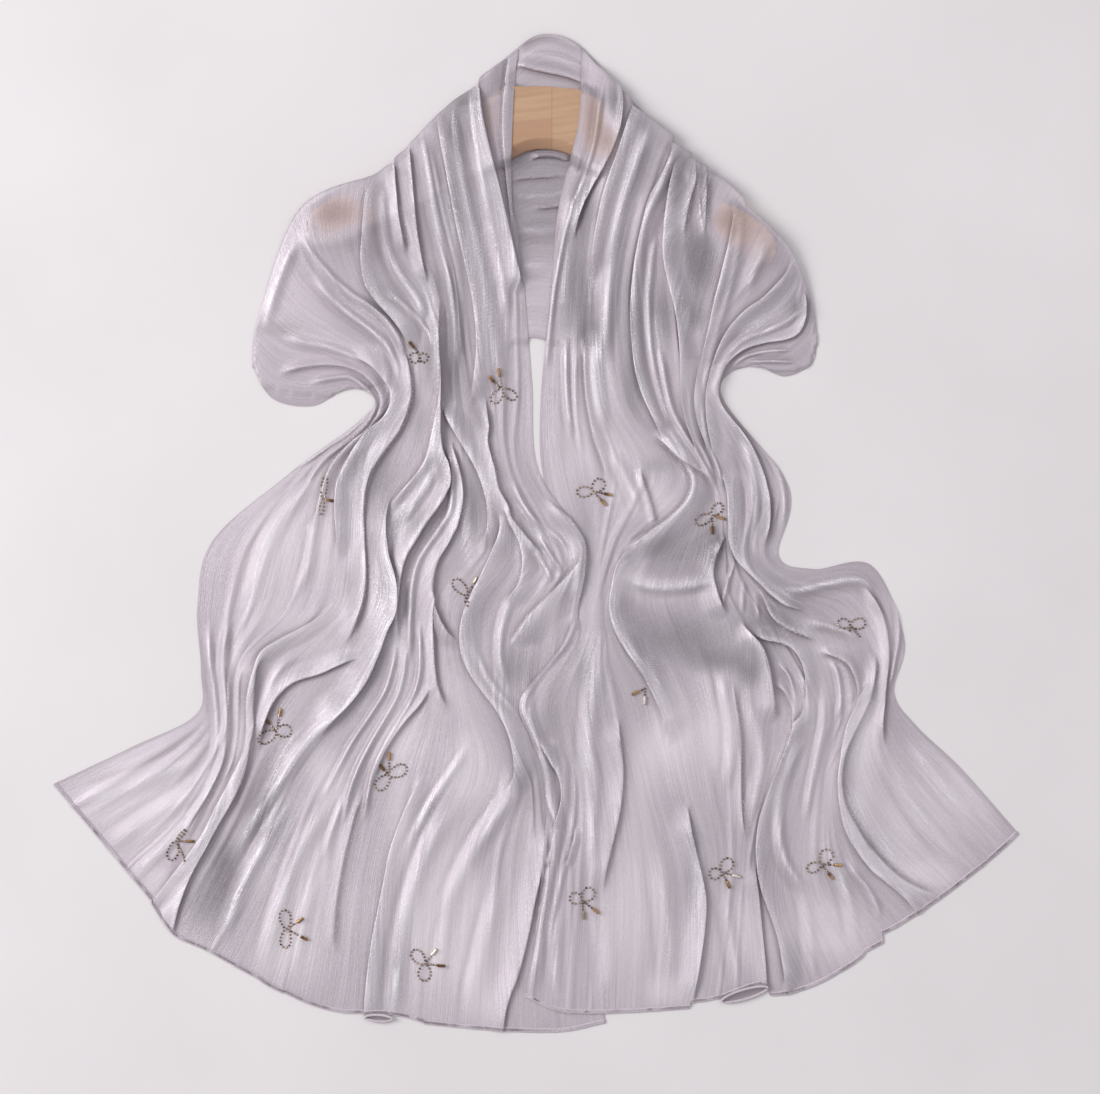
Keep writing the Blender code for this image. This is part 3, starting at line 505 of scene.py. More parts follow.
# how the folds are laid: metres, unless a share
creasing = {
    "linePitch": 0.0015,  # between the points of a fold's line
    "leastPoints": 8,
    "batch": 20000,  # points measured at a time
    "margin": 0.004,
    "fadeShare": 0.45,  # the most of a fold's length that one run-out takes
    "unevenPitch": 0.035,
    "uneven": 0.16,
    "crestPower": 6,
    "darkFrom": 0.9,  # where the painted shade beside the crisp flank starts, share of the flank
    "darkOut": 0.001,
    "darkWide": 0.003,
    "darkPlain": 0.4,  # painted shade beside a fold that doesn't lap over
    "rimIn": 0.0006,  # the painted highlight on the rim of a lapped fold
    "rimWide": 0.0014,
    "rimShare": 0.95,
    "lapSteps": 60,
    "density": 3.2,  # mesh lines near a fold against those far from it
    "densityReach": 0.014,
    "densityShare": 0.7,
    "densityWide": 0.002,
    "densityBlur": 60,
}
facings = {"left": 1.0, "right": -1.0, "both": 1.0}


def readFolds(table):
    # each fold's smooth line in metres, with its tangents and lengths along it
    made = named(foldColumns, table)
    for fold in made:
        line = fromPhoto(fold["line"])
        count = max(creasing["leastPoints"], int(runAlong(line)[-1] / creasing["linePitch"]))
        curve = along(line, evenPlaces(line, count))
        tangent = np.gradient(curve, axis=0)
        tangent /= np.linalg.norm(tangent, axis=1, keepdims=True)
        # side 1: the crisp flank is on the tangent's right as the line runs down the photo, -1 on its left
        fold.update(curve=curve, tangent=tangent, run=runAlong(curve), side=facings[fold["facing"]])
        for key in ("wide", "steep", "rise", "under", "fade"):
            fold[key] = fold[key] * mm
    return made


def offsetsFrom(fold, points, reach):
    # signed distance towards the crisp flank and length along the line, for the points near it
    low = fold["curve"].min(axis=0) - reach
    high = fold["curve"].max(axis=0) + reach
    near = np.nonzero(((points > low) & (points < high)).all(axis=1))[0]
    at = points[near]
    best = np.empty(len(near), int)
    for start in range(0, len(near), creasing["batch"]):
        part = slice(start, start + creasing["batch"])
        gap = ((at[part, None, :] - fold["curve"][None]) ** 2).sum(axis=-1)
        best[part] = gap.argmin(axis=1)
    delta = at - fold["curve"][best]
    tangent = fold["tangent"][best]
    across = -(tangent[:, 0] * delta[:, 1] - tangent[:, 1] * delta[:, 0]) * fold["side"]
    length = fold["run"][best] + (tangent * delta).sum(axis=1)
    close = (np.abs(across) < reach) & (length > -reach) & (length < fold["run"][-1] + reach)
    return near[close], across[close], length[close]


def ridgeShape(offset, wide, steep):
    width = np.where(offset < 0, wide, steep)
    return 0.5 + 0.5 * np.cos(np.pi * np.clip(offset / width, -1, 1))


def lapReach(fold):
    # how far beyond its own centre a lapped crest reaches, and which part of the cloth is its outermost
    if fold["under"] == 0:
        return 0.0, 0.0
    d = np.linspace(0, fold["steep"], creasing["lapSteps"])
    places = d + fold["under"] * ridgeShape(d, fold["steep"], fold["steep"])
    return float(places.max()), float(d[places.argmax()])


def unevenness(random, length):
    # a smooth factor near one along a line: its knots and their values
    count = max(3, int(length / creasing["unevenPitch"]) + 3)
    return np.linspace(0, length, count), 1 + creasing["uneven"] * random.uniform(-1, 1, count)


def layFolds(points, folds, seed):
    # moves the points sideways where a fold laps over, and gives the height of all the folds, a painted
    # highlight along their crests and rims, and a painted shade beside their crisp flanks
    random = np.random.default_rng(seed)
    flat = points.reshape(-1, 2).copy()
    power, crest, hollow = np.zeros((3, len(flat)))
    for fold in sorted(folds, key=lambda fold: fold["under"] == 0):  # lapped folds first
        lapped = fold["under"] > 0
        lap, outermost = lapReach(fold)
        reach = max(fold["wide"], fold["steep"]) + lap + creasing["margin"]
        near, across, length = offsetsFrom(fold, flat, reach)
        total = fold["run"][-1]
        fade = min(fold["fade"], creasing["fadeShare"] * total)
        ends = smoothStep(length / fade) * smoothStep((total - length) / fade)
        ends = np.where((length < 0) | (length > total), 0, ends)
        uneven = np.interp(length, *unevenness(random, total))
        offset = across + lap * ends
        ridge = ridgeShape(offset, fold["wide"], fold["steep"])
        power[near] += (ends * uneven * ridge * fold["rise"]) ** 2
        # painted highlight along each fold's crest
        crest[near] = np.maximum(crest[near], ends * ridge ** creasing["crestPower"])
        # painted shade just beyond the crisp flank
        beyond = offset - fold["steep"] * creasing["darkFrom"]
        dark = bell(beyond - creasing["darkOut"], creasing["darkWide"]) * ends
        hollow[near] = np.maximum(hollow[near], dark * (1.0 if lapped else creasing["darkPlain"]))
        if lapped:
            # painted highlight on the rim of a lapped fold
            rim = bell(offset - outermost + creasing["rimIn"], creasing["rimWide"])
            crest[near] = np.maximum(crest[near], creasing["rimShare"] * ends * rim)
            curveAt = np.clip(np.searchsorted(fold["run"], length), 0, len(fold["run"]) - 1)
            tangent = fold["tangent"][curveAt]
            normal = np.stack([tangent[:, 1], -tangent[:, 0]], axis=1) * fold["side"]
            flat[near] += normal * (ends * fold["under"] * ridge)[:, None]
    fields = (values.reshape(points.shape[:2]) for values in (np.sqrt(power), crest, hollow))
    return flat.reshape(points.shape), *fields


def foldDensity(points, folds):
    # how closely the mesh lines should lie, from the nearness of the folds
    flat = points.reshape(-1, 2)
    density = np.ones(len(flat))
    for fold in folds:
        lap = lapReach(fold)[0]
        near, across, _ = offsetsFrom(fold, flat, creasing["densityReach"] + lap)
        half = creasing["densityShare"] * fold["steep"] + creasing["densityWide"]
        peak = creasing["density"] * bell(across - (0.5 * fold["steep"] - lap), half)
        density[near] = np.maximum(density[near], 1 + peak)
    return density.reshape(points.shape[:2])


def blurAlong(values, passes):
    for _ in range(passes):
        wide = np.pad(values, ((0, 0), (1, 1)), mode="edge")
        values = 0.25 * wide[:, :-2] + 0.5 * wide[:, 1:-1] + 0.25 * wide[:, 2:]
    return values


def sectionTable(sections):
    return np.array([row[1:] for row in sections], float) * mm + photo["shift"]


def clothGrid(sections, counts, folds):
    # a grid of points over a stretch of cloth, its lines gathered where the folds are crisp
    countU, countV = counts
    table = sectionTable(sections)
    flows = np.swapaxes(along(table, evenPlaces(table, countV)), 0, 1)
    fine = along(flows, evenPlaces(flows, 2 * countU))
    density = blurAlong(foldDensity(fine, folds), creasing["densityBlur"])
    gathered = np.cumsum(0.5 * (density[1:] + density[:-1]), axis=0)
    gathered = np.concatenate([np.zeros((1, countV)), gathered]) / gathered[-1]
    share = np.linspace(0, 1, countU)
    fineShare = np.linspace(0, 1, 2 * countU)
    points = np.empty((countU, countV, 2))
    across = np.empty((countU, countV))
    for j in range(countV):
        across[:, j] = np.interp(share, gathered[:, j], fineShare)
        for k in range(2):
            points[:, j, k] = np.interp(across[:, j], fineShare, fine[:, j, k])
    return points, across


# how a bulge or notch rises along its length: round both ways, or from a step and sloping off
scalloping = {"round": 0.55, "tooth": 0.05, "slope": 0.8, "reach": 0.014}


def scalloped(points):
    flat = points.reshape(-1, 2).copy()
    for scallop in named(scallopColumns, scallops):
        start, end = fromPhoto([scallop["start"], scallop["end"]])
        length = np.linalg.norm(end - start)
        way = (end - start) / length
        aside = np.array([-way[1], way[0]])
        place = np.clip((flat - start) @ way / length, 0, 1)
        arch = np.sin(np.pi * place) ** scalloping["round"]
        if scallop["step"]:
            toStep = place if scallop["step"] > 0 else 1 - place
            arch = np.clip(toStep / scalloping["tooth"], 0, 1) * (1 - toStep) ** scalloping["slope"]
        out = scallop["out"] * mm * arch * bell((flat - start) @ aside, scalloping["reach"])
        flat += aside * out[:, None]
    return flat.reshape(points.shape)


# the small uneven folds, drawn in this order: place across, sideways drift, start and length as shares of
# the cloth, half width in metres, rise in millimetres, phase of the drift
minorRanges = {
    "place": (0.02, 0.98), "drift": (-0.03, 0.03), "first": (-0.15, 0.85), "length": (0.12, 0.45),
    "half": (0.0022, 0.0055), "rise": (0.2, 0.8), "phase": (0, 6.28),
}
minor = {"turns": 2.2, "fade": 0.07, "usualHalf": 0.004}


def minorFolds(points, across, seed, count):
    # small uneven folds that run along the cloth
    random = np.random.default_rng(seed)
    run = runAlong(points)
    rows = np.linspace(0, 1, points.shape[1])
    height = np.zeros(points.shape[:2])
    for _ in range(count):
        place, drift, first, length, half, rise, phase = (
            random.uniform(*limits) for limits in minorRanges.values()
        )
        rise = rise * mm * (half / minor["usualHalf"])
        at = place + drift * np.sin(minor["turns"] * rows * np.pi + phase)
        middle = np.array([np.interp(a, across[:, j], run[:, j]) for j, a in enumerate(at)])
        last = first + length
        ends = smoothStep((rows - first) / minor["fade"]) * smoothStep((last - rows) / minor["fade"])
        height += ridgeShape(run - middle, half, half) * ends * rise
    return height


# an even grid over the table, for the heights of what the cloth lies on
ground = {"low": (-0.50, -0.48), "cell": 0.0025, "count": (400, 400), "sky": 0.2}


def treeOf(made):
    points = [made.matrix_world @ vertex.co for vertex in made.data.vertices]
    return BVHTree.FromPolygons(points, [tuple(face.vertices) for face in made.data.polygons])


def topOf(trees, x, y):
    # the height of the uppermost surface there, and its normal
    height, normal = 0.0, Vector((0, 0, 1))
    for tree in trees:
        place, facing = tree.ray_cast(Vector((x, y, ground["sky"])), Vector((0, 0, -1)))[:2]
        if place is not None and place.z > height:
            height, normal = place.z, facing if facing.z > 0 else -facing
    return height, normal


def heightsBelow(trees):
    (lowX, lowY), cell, (countX, countY) = ground["low"], ground["cell"], ground["count"]
    return np.array([
        [topOf(trees, lowX + i * cell, lowY + j * cell)[0] for j in range(countY)] for i in range(countX)
    ])


def relaxed(need, passes):
    # the cloth bridges hollows and comes down in a slope beside what it lies on
    padded = np.pad(need, 1, mode="edge")
    countX, countY = need.shape
    need = np.max([padded[a:a + countX, b:b + countY] for a in range(3) for b in range(3)], axis=0)
    height = need.copy()
    for _ in range(passes):
        wide = np.pad(height, 1, mode="edge")
        mean = 0.25 * (wide[:-2, 1:-1] + wide[2:, 1:-1] + wide[1:-1, :-2] + wide[1:-1, 2:])
        height = np.maximum(need, mean)
    return need, height


def sampled(heights, points):
    at = (points - np.array(ground["low"])) / ground["cell"]
    low = np.clip(np.floor(at).astype(int), 0, np.array(heights.shape) - 2)
    part = np.clip(at - low, 0, 1)
    i, j = low[..., 0], low[..., 1]
    a, b = part[..., 0], part[..., 1]
    return (
        heights[i, j] * (1 - a) * (1 - b)
        + heights[i + 1, j] * a * (1 - b)
        + heights[i, j + 1] * (1 - a) * b
        + heights[i + 1, j + 1] * a * b
    )


def newPiece(name, points, faces, material):
    mesh = bpy.data.meshes.new(name)
    mesh.from_pydata(points, [], faces)
    mesh.materials.append(material)
    made = bpy.data.objects.new(name, mesh)
    bpy.context.scene.collection.objects.link(made)
    return made


def clothMesh(name, points, uv, wear, material):
    # an open sheet from a grid of points, with its own UV in metres; its colours are the painted highlight on
    # the crests, the painted shade in the creases, the selvedge, and how thin the cloth is, which also paints
    # it lighter where thin and darker where dense
    countU, countV, _ = points.shape
    index = np.arange(countU * countV).reshape(countU, countV)
    quads = np.stack([index[:-1, :-1], index[1:, :-1], index[1:, 1:], index[:-1, 1:]], axis=-1).reshape(-1, 4)
    flat = points.reshape(-1, 3)
    a, b, c = flat[quads[:, 0]], flat[quads[:, 1]], flat[quads[:, 3]]
    if np.cross(b - a, c - a)[:, 2].sum() < 0:  # the upper side faces up
        quads = quads[:, ::-1]
    made = newPiece(name, flat.tolist(), quads.tolist(), material)
    mesh = made.data
    corner = np.empty(len(mesh.loops), int)
    mesh.loops.foreach_get("vertex_index", corner)
    mesh.uv_layers.new(name="cloth").data.foreach_set("uv", uv.reshape(-1, 2)[corner].ravel())
    shade = mesh.color_attributes.new("drape", "FLOAT_COLOR", "POINT")
    shade.data.foreach_set("color", np.stack([values.ravel() for values in wear], axis=1).ravel())
    mesh.shade_smooth()
    return made


def feed(tree, socket, value):
    # an input takes another node's output, a colour or a number
    if isinstance(value, bpy.types.NodeSocket):
        tree.links.new(value, socket)
    elif socket.type == "RGBA":
        socket.default_value = (*value, 1.0)
    else:
        socket.default_value = value


def newMaterial(name, colour, roughness):
    made = bpy.data.materials.new(name)
    made.use_nodes = True
    tree = made.node_tree
    shader = tree.nodes["Principled BSDF"]
    feed(tree, shader.inputs["Base Color"], colour)
    feed(tree, shader.inputs["Roughness"], roughness)
    return made, tree, shader


def addNode(tree, kind, inputs, **settings):
    node = tree.nodes.new(kind)
    for key, value in settings.items():
        setattr(node, key, value)
    for key, value in inputs.items():
        feed(tree, node.inputs[key], value)
    return node


def objectPlace(tree):
    return addNode(tree, "ShaderNodeTexCoord", {}).outputs["Object"]


def noiseNode(tree, vector, scale, detail, rough=0.5):
    # noise stretched by a three-way scale
    mapped = addNode(tree, "ShaderNodeMapping", {"Scale": scale, "Vector": vector}).outputs["Vector"]
    inputs = {"Scale": 1.0, "Detail": detail, "Roughness": rough, "Vector": mapped}
    return addNode(tree, "ShaderNodeTexNoise", inputs).outputs["Fac"]


def rangeNode(tree, value, low, high, toLow=0.0, toHigh=1.0):
    inputs = {"From Min": low, "From Max": high, "To Min": toLow, "To Max": toHigh, "Value": value}
    return addNode(tree, "ShaderNodeMapRange", inputs).outputs["Result"]


def mathNode(tree, operation, first, *others):
    for other in others:
        first = addNode(tree, "ShaderNodeMath", {0: first, 1: other}, operation=operation).outputs[0]
    return first


def mixNode(tree, factor, a, b, blend="MIX"):
    node = addNode(tree, "ShaderNodeMix", {}, data_type="RGBA", blend_type=blend)
    factors = [socket for socket in node.inputs if socket.type == "VALUE"]
    colours = [socket for socket in node.inputs if socket.type == "RGBA"]
    for socket, value in ((factors[0], factor), (colours[0], a), (colours[1], b)):
        feed(tree, socket, value)
    return [socket for socket in node.outputs if socket.type == "RGBA"][0]


def addBump(tree, shader, height, strength, distance):
    bump = addNode(tree, "ShaderNodeBump", {"Strength": strength, "Distance": distance, "Height": height})
    feed(tree, shader.inputs["Normal"], bump.outputs["Normal"])


satin = {
    "shade": (0.475, 0.422, 0.468),
    "light": (0.575, 0.520, 0.567),
    # the colour of the painted highlight on the crests, then of the painted shade in the creases
    "crest": (0.97, 0.92, 0.98),
    "hollow": (0.26, 0.205, 0.23),
    "edge": (0.42, 0.355, 0.40),
    "glint": (1.0, 0.98, 1.0),
    "grain": (760.0, 1.5, 0.7),  # scale, detail, roughness
    "bump": (0.42, 0.0006),
    "bumpFine": 1.6,
    "bumpGrain": 1.2,
    "roughness": 0.5,
    "Metallic": 0.28,
    "Sheen Weight": 0.12,
    "Sheen Roughness": 0.4,
    "Specular IOR Level": 0.5,
}
# the weave's noises: how often across and along a metre, detail, roughness
weave = {
    "cloud": (14.0, 5.0, 2.0, 0.5), "band": (170.0, 4.5, 3.0, 0.6), "fine": (620.0, 11.0, 3.0, 0.6),
    "thread": (1500.0, 60.0, 2.0, 0.5), "broken": (110.0, 16.0, 2.0, 0.6), "streak": (480.0, 22.0, 2.0, 0.55),
}
# from which range each pattern is taken and, where not 0 to 1, to which
satinRanges = {
    "cloudShare": (0.35, 0.65),
    "bandTone": (0.36, 0.64, 0.955, 1.05),
    "fineTone": (0.34, 0.66, 0.93, 1.08),
    "grainTone": (0.3, 0.7, 0.95, 1.05),
    # the cloth is painted lighter where thin and darker where dense, partly for its layers and partly as
    # painted light and shade, and darker still where the hanger shows through, as painted shade
    "paintedLightTone": (0.0, 1.0, 0.44, 1.56),
    "sheerPaintedShade": (1.0, 1.8, 1.0, 0.62),
    "brokenShine": (0.38, 0.62, 0.10, 0.62),
    "streakShine": (0.50, 0.64, 0.0, 0.60),
    "crestShine": (0.0, 1.0),
    "creaseShadeShare": (0.0, 1.0, 0.0, 0.68),
    "edgeShare": (0.0, 1.0, 0.0, 0.7),
    "glint": (0.56, 0.68, 0.0, 0.75),
    "glintCrest": (0.0, 0.8, 0.06, 1.0),
    "roughness": (0.3, 0.7, 0.36, 0.54),
    "sheerVeil": (1.0, 1.8, 1.0, 0.84),
}
thinVeil = (0.45, 1.0)  # how thin the cloth is where the veil sets in, and where it is full


def satinMaterial(name, alpha):
    # alpha: of doubled cloth and of a single layer
    made, tree, shader = newMaterial(name, satin["shade"], satin["roughness"])
    place = addNode(tree, "ShaderNodeUVMap", {}, uv_map="cloth").outputs["UV"]
    wear = addNode(tree, "ShaderNodeVertexColor", {}, layer_name="drape")
    parts = addNode(tree, "ShaderNodeSeparateColor", {"Color": wear.outputs["Color"]})
    crest, hollow, edge, thin = *parts.outputs[:3], wear.outputs["Alpha"]
    noises = {
        key: noiseNode(tree, place, (across, length, 1.0), detail, rough)
        for key, (across, length, detail, rough) in weave.items()
    }
    scale, detail, rough = satin["grain"]
    grain = noiseNode(tree, objectPlace(tree), (scale,) * 3, detail, rough)

    def ranged(value, key):
        return rangeNode(tree, value, *satinRanges[key])

    colour = mixNode(tree, ranged(noises["cloud"], "cloudShare"), satin["shade"], satin["light"])
    # lighter where thin, darker where dense and where the hanger shows through: partly for the layers, partly
    # painted light and shade
    tone = mathNode(
        tree, "MULTIPLY", ranged(noises["band"], "bandTone"), ranged(noises["fine"], "fineTone"),
        ranged(grain, "grainTone"), ranged(thin, "paintedLightTone"), ranged(thin, "sheerPaintedShade"),
    )
    grey = addNode(tree, "ShaderNodeCombineColor", {0: tone, 1: tone, 2: tone})
    colour = mixNode(tree, 1.0, colour, grey.outputs["Color"], "MULTIPLY")
    # painted highlight: the crests and the sparkling streaks turn near white
    shine = mathNode(
        tree, "ADD", ranged(noises["broken"], "brokenShine"), ranged(noises["streak"], "streakShine")
    )
    shine = mathNode(tree, "MULTIPLY", shine, ranged(crest, "crestShine"))
    colour = mixNode(tree, shine, colour, satin["crest"])
    # painted shade in the creases beside the crisp flanks
    colour = mixNode(tree, ranged(hollow, "creaseShadeShare"), colour, satin["hollow"])
    colour = mixNode(tree, ranged(edge, "edgeShare"), colour, satin["edge"])
    # painted glints on the crests
    glint = mathNode(tree, "MULTIPLY", ranged(grain, "glint"), ranged(crest, "glintCrest"))
    feed(tree, shader.inputs["Base Color"], mixNode(tree, glint, colour, satin["glint"]))
    feed(tree, shader.inputs["Roughness"], ranged(noises["fine"], "roughness"))
    height = mathNode(
        tree, "ADD", noises["thread"], mathNode(tree, "MULTIPLY", noises["fine"], satin["bumpFine"]),
        mathNode(tree, "MULTIPLY", grain, satin["bumpGrain"]),
    )
    addBump(tree, shader, height, *satin["bump"])
    veil = mathNode(
        tree, "MULTIPLY", rangeNode(tree, thin, *thinVeil, *alpha), ranged(thin, "sheerVeil")
    )
    feed(tree, shader.inputs["Alpha"], veil)
    for key in ("Metallic", "Sheen Weight", "Sheen Roughness", "Specular IOR Level"):
        feed(tree, shader.inputs[key], satin[key])
    return made


# surfaces in two colours, finely speckled: the noise's scale, detail and range, bump strength and depth
speckled = {
    "hemThread": {
        "colour": (0.36, 0.31, 0.37), "roughness": 0.6, "scale": 700.0, "detail": 3.0, "range": (0.3, 0.7),
        "dark": (0.48, 0.42, 0.465), "light": (0.65, 0.59, 0.635), "bump": (0.3, 0.0004),
    },
    "stitchThread": {
        "colour": (0.17, 0.14, 0.18), "roughness": 0.5, "scale": 1500.0, "detail": 2.0, "range": (0.3, 0.7),
        "dark": (0.24, 0.20, 0.225), "light": (0.46, 0.40, 0.445),
    },
    "smokedStone": {
        "colour": (0.30, 0.24, 0.21), "roughness": 0.22, "scale": 330.0, "detail": 1.0, "range": (0.35, 0.65),
        "dark": (0.10, 0.066, 0.046), "light": (0.50, 0.385, 0.29), "metallic": 0.75,
    },
    "goldBugle": {
        "colour": (0.50, 0.31, 0.16), "roughness": 0.20, "scale": 90.0, "detail": 1.0, "range": (0.4, 0.6),
        "dark": (0.16, 0.085, 0.035), "light": (0.50, 0.31, 0.16), "metallic": 0.7,
    },
    # a lighter copy of the gold bugle, as painted highlight for the bright shine some bugles show
    "silverBugle": {
        "colour": (0.92, 0.86, 0.76), "roughness": 0.20, "scale": 90.0, "detail": 1.0, "range": (0.4, 0.6),
        "dark": (0.42, 0.34, 0.25), "light": (0.92, 0.86, 0.76), "metallic": 0.7,
    },
    "paleTable": {
        "colour": (0.80, 0.775, 0.79), "roughness": 0.85, "scale": 5.0, "detail": 3.0, "range": (0.3, 0.7),
        "dark": (0.725, 0.698, 0.704), "light": (0.765, 0.738, 0.744),
    },
}


def speckledMaterial(name):
    look = speckled[name]
    made, tree, shader = newMaterial(name, look["colour"], look["roughness"])
    noise = noiseNode(tree, objectPlace(tree), (look["scale"],) * 3, look["detail"])
    level = rangeNode(tree, noise, *look["range"])
    feed(tree, shader.inputs["Base Color"], mixNode(tree, level, look["dark"], look["light"]))
    feed(tree, shader.inputs["Metallic"], look.get("metallic", 0.0))
    if "bump" in look:
        addBump(tree, shader, noise, *look["bump"])
    return made


beech = {
    "pale": (0.525, 0.335, 0.205),
    "dark": (0.44, 0.268, 0.162),
    "pink": (0.445, 0.253, 0.156),
    "pore": (0.33, 0.185, 0.10),
    "turn": (0, 0, -0.12),
    "grain": ((14.0, 190.0, 60.0), 4.0, 0.6),  # scale, detail, roughness
    "pores": ((90.0, 1500.0, 900.0), 2.0, 0.5),
    "grainShare": (0.32, 0.68),
    "poreShare": (0.62, 0.72, 0.0, 0.22),
    "roughness": (0.3, 0.7, 0.42, 0.58),
    "joint": 0.0143,  # where the two glued halves meet, across
    "jointSharp": 0.0004,
    "jointDark": (0.0002, 0.0009, 0.45, 0.0),
    "block": 0.3655,  # top of the pinker block on the left, up
    "blockSoft": 0.0030,
    "blockSlant": -0.11,
    "pinkShare": 0.75,
    "bump": (0.10, 0.0003),
    "Coat Weight": 0.15,
    "Coat Roughness": 0.35,
}


def beechMaterial():
    made, tree, shader = newMaterial("beech", beech["pale"], 0.5)
    place = objectPlace(tree)
    turned = addNode(tree, "ShaderNodeMapping", {"Rotation": beech["turn"], "Vector": place})
    grain = noiseNode(tree, turned.outputs["Vector"], *beech["grain"])
    pores = noiseNode(tree, turned.outputs["Vector"], *beech["pores"])
    axes = addNode(tree, "ShaderNodeSeparateXYZ", {"Vector": place}).outputs
    colour = mixNode(tree, rangeNode(tree, grain, *beech["grainShare"]), beech["dark"], beech["pale"])
    joint, block = beech["joint"], beech["block"]
    onLeft = rangeNode(tree, axes["X"], joint, joint + beech["jointSharp"], 1.0, 0.0)
    slant = mathNode(tree, "ADD", axes["Y"], mathNode(tree, "MULTIPLY", axes["X"], beech["blockSlant"]))
    below = rangeNode(tree, slant, block - beech["blockSoft"], block, 1.0, 0.0)
    pinker = mathNode(tree, "MULTIPLY", onLeft, below, beech["pinkShare"])
    colour = mixNode(tree, pinker, colour, beech["pink"])
    toJoint = mathNode(tree, "SUBTRACT", axes["X"], joint)
    gap = addNode(tree, "ShaderNodeMath", {0: toJoint}, operation="ABSOLUTE").outputs[0]
    colour = mixNode(tree, rangeNode(tree, gap, *beech["jointDark"]), colour, beech["pore"])
    colour = mixNode(tree, rangeNode(tree, pores, *beech["poreShare"]), colour, beech["pore"])
    feed(tree, shader.inputs["Base Color"], colour)
    feed(tree, shader.inputs["Roughness"], rangeNode(tree, grain, *beech["roughness"]))
    addBump(tree, shader, pores, *beech["bump"])
    for key in ("Coat Weight", "Coat Roughness"):
        feed(tree, shader.inputs[key], beech[key])
    return made


frontSatin = satinMaterial("shawlSatin", (0.96, 0.48))
backSatin = satinMaterial("shawlSatinBack", (0.98, 0.85))
hemThread = speckledMaterial("hemThread")
stitchThread = speckledMaterial("stitchThread")
smokedStone = speckledMaterial("smokedStone")
beechWood = beechMaterial()
bugleMaterials = {"gold": speckledMaterial("goldBugle"), "silver": speckledMaterial("silverBugle")}
print("materials made")

leftFront = {
    "name": "leftFrontCloth", "sections": leftSections, "folds": leftFolds,
    "counts": (322, 300), "seed": 11, "minor": 120, "cutWidth": 0.70, "length": 0.90,
}
rightFront = {
    "name": "rightFrontCloth", "sections": rightSections, "folds": rightFolds,
    "counts": (322, 300), "seed": 23, "minor": 120, "cutWidth": 0.70, "length": 0.86,
}
backPiece = {
    "name": "backStretchCloth", "node": "back_stretch", "counts": (300, 150), "seed": 5,
    "cutWidth": 0.30, "length": 0.70, "lift": 0.0016, "over": 0.001,
    "edgeShare": 0.25, "selvedge": 0.0025, "crestHighlightShare": 0.3,
    "marks": ((540, 110), (540, 250)),  # the collar and the neck, pixels of the photo
    "thin": 0.2, "neckThinAndLight": (0.34, 0.035, 0.07), "collarThinAndLight": (0.3, 0.02),
}
resting = {"passes": 900, "edge": 0.036, "firstRows": 5.0, "gap": 0.0006}
# how the folds and the small waves show: calm and selvedge are widths beside the long edges, metres
showing = {
    # shares of the painted highlight on the crests and of the painted shade where the hanger shows through;
    # the tones set how thin the cloth is, with its painted light and shade, around a mean
    "calm": 0.006, "selvedge": 0.0018, "crestHighlightShare": 0.85, "sheerShade": 0.42,
    "thinAndLightMean": 0.50, "thinAndLightShare": 0.44,
}
crossing = {"y": -0.0785, "soft": 0.012}  # above this line the left half lies over the right one
wrap = {"rows": 6, "out": 0.0016, "floor": 0.0012}
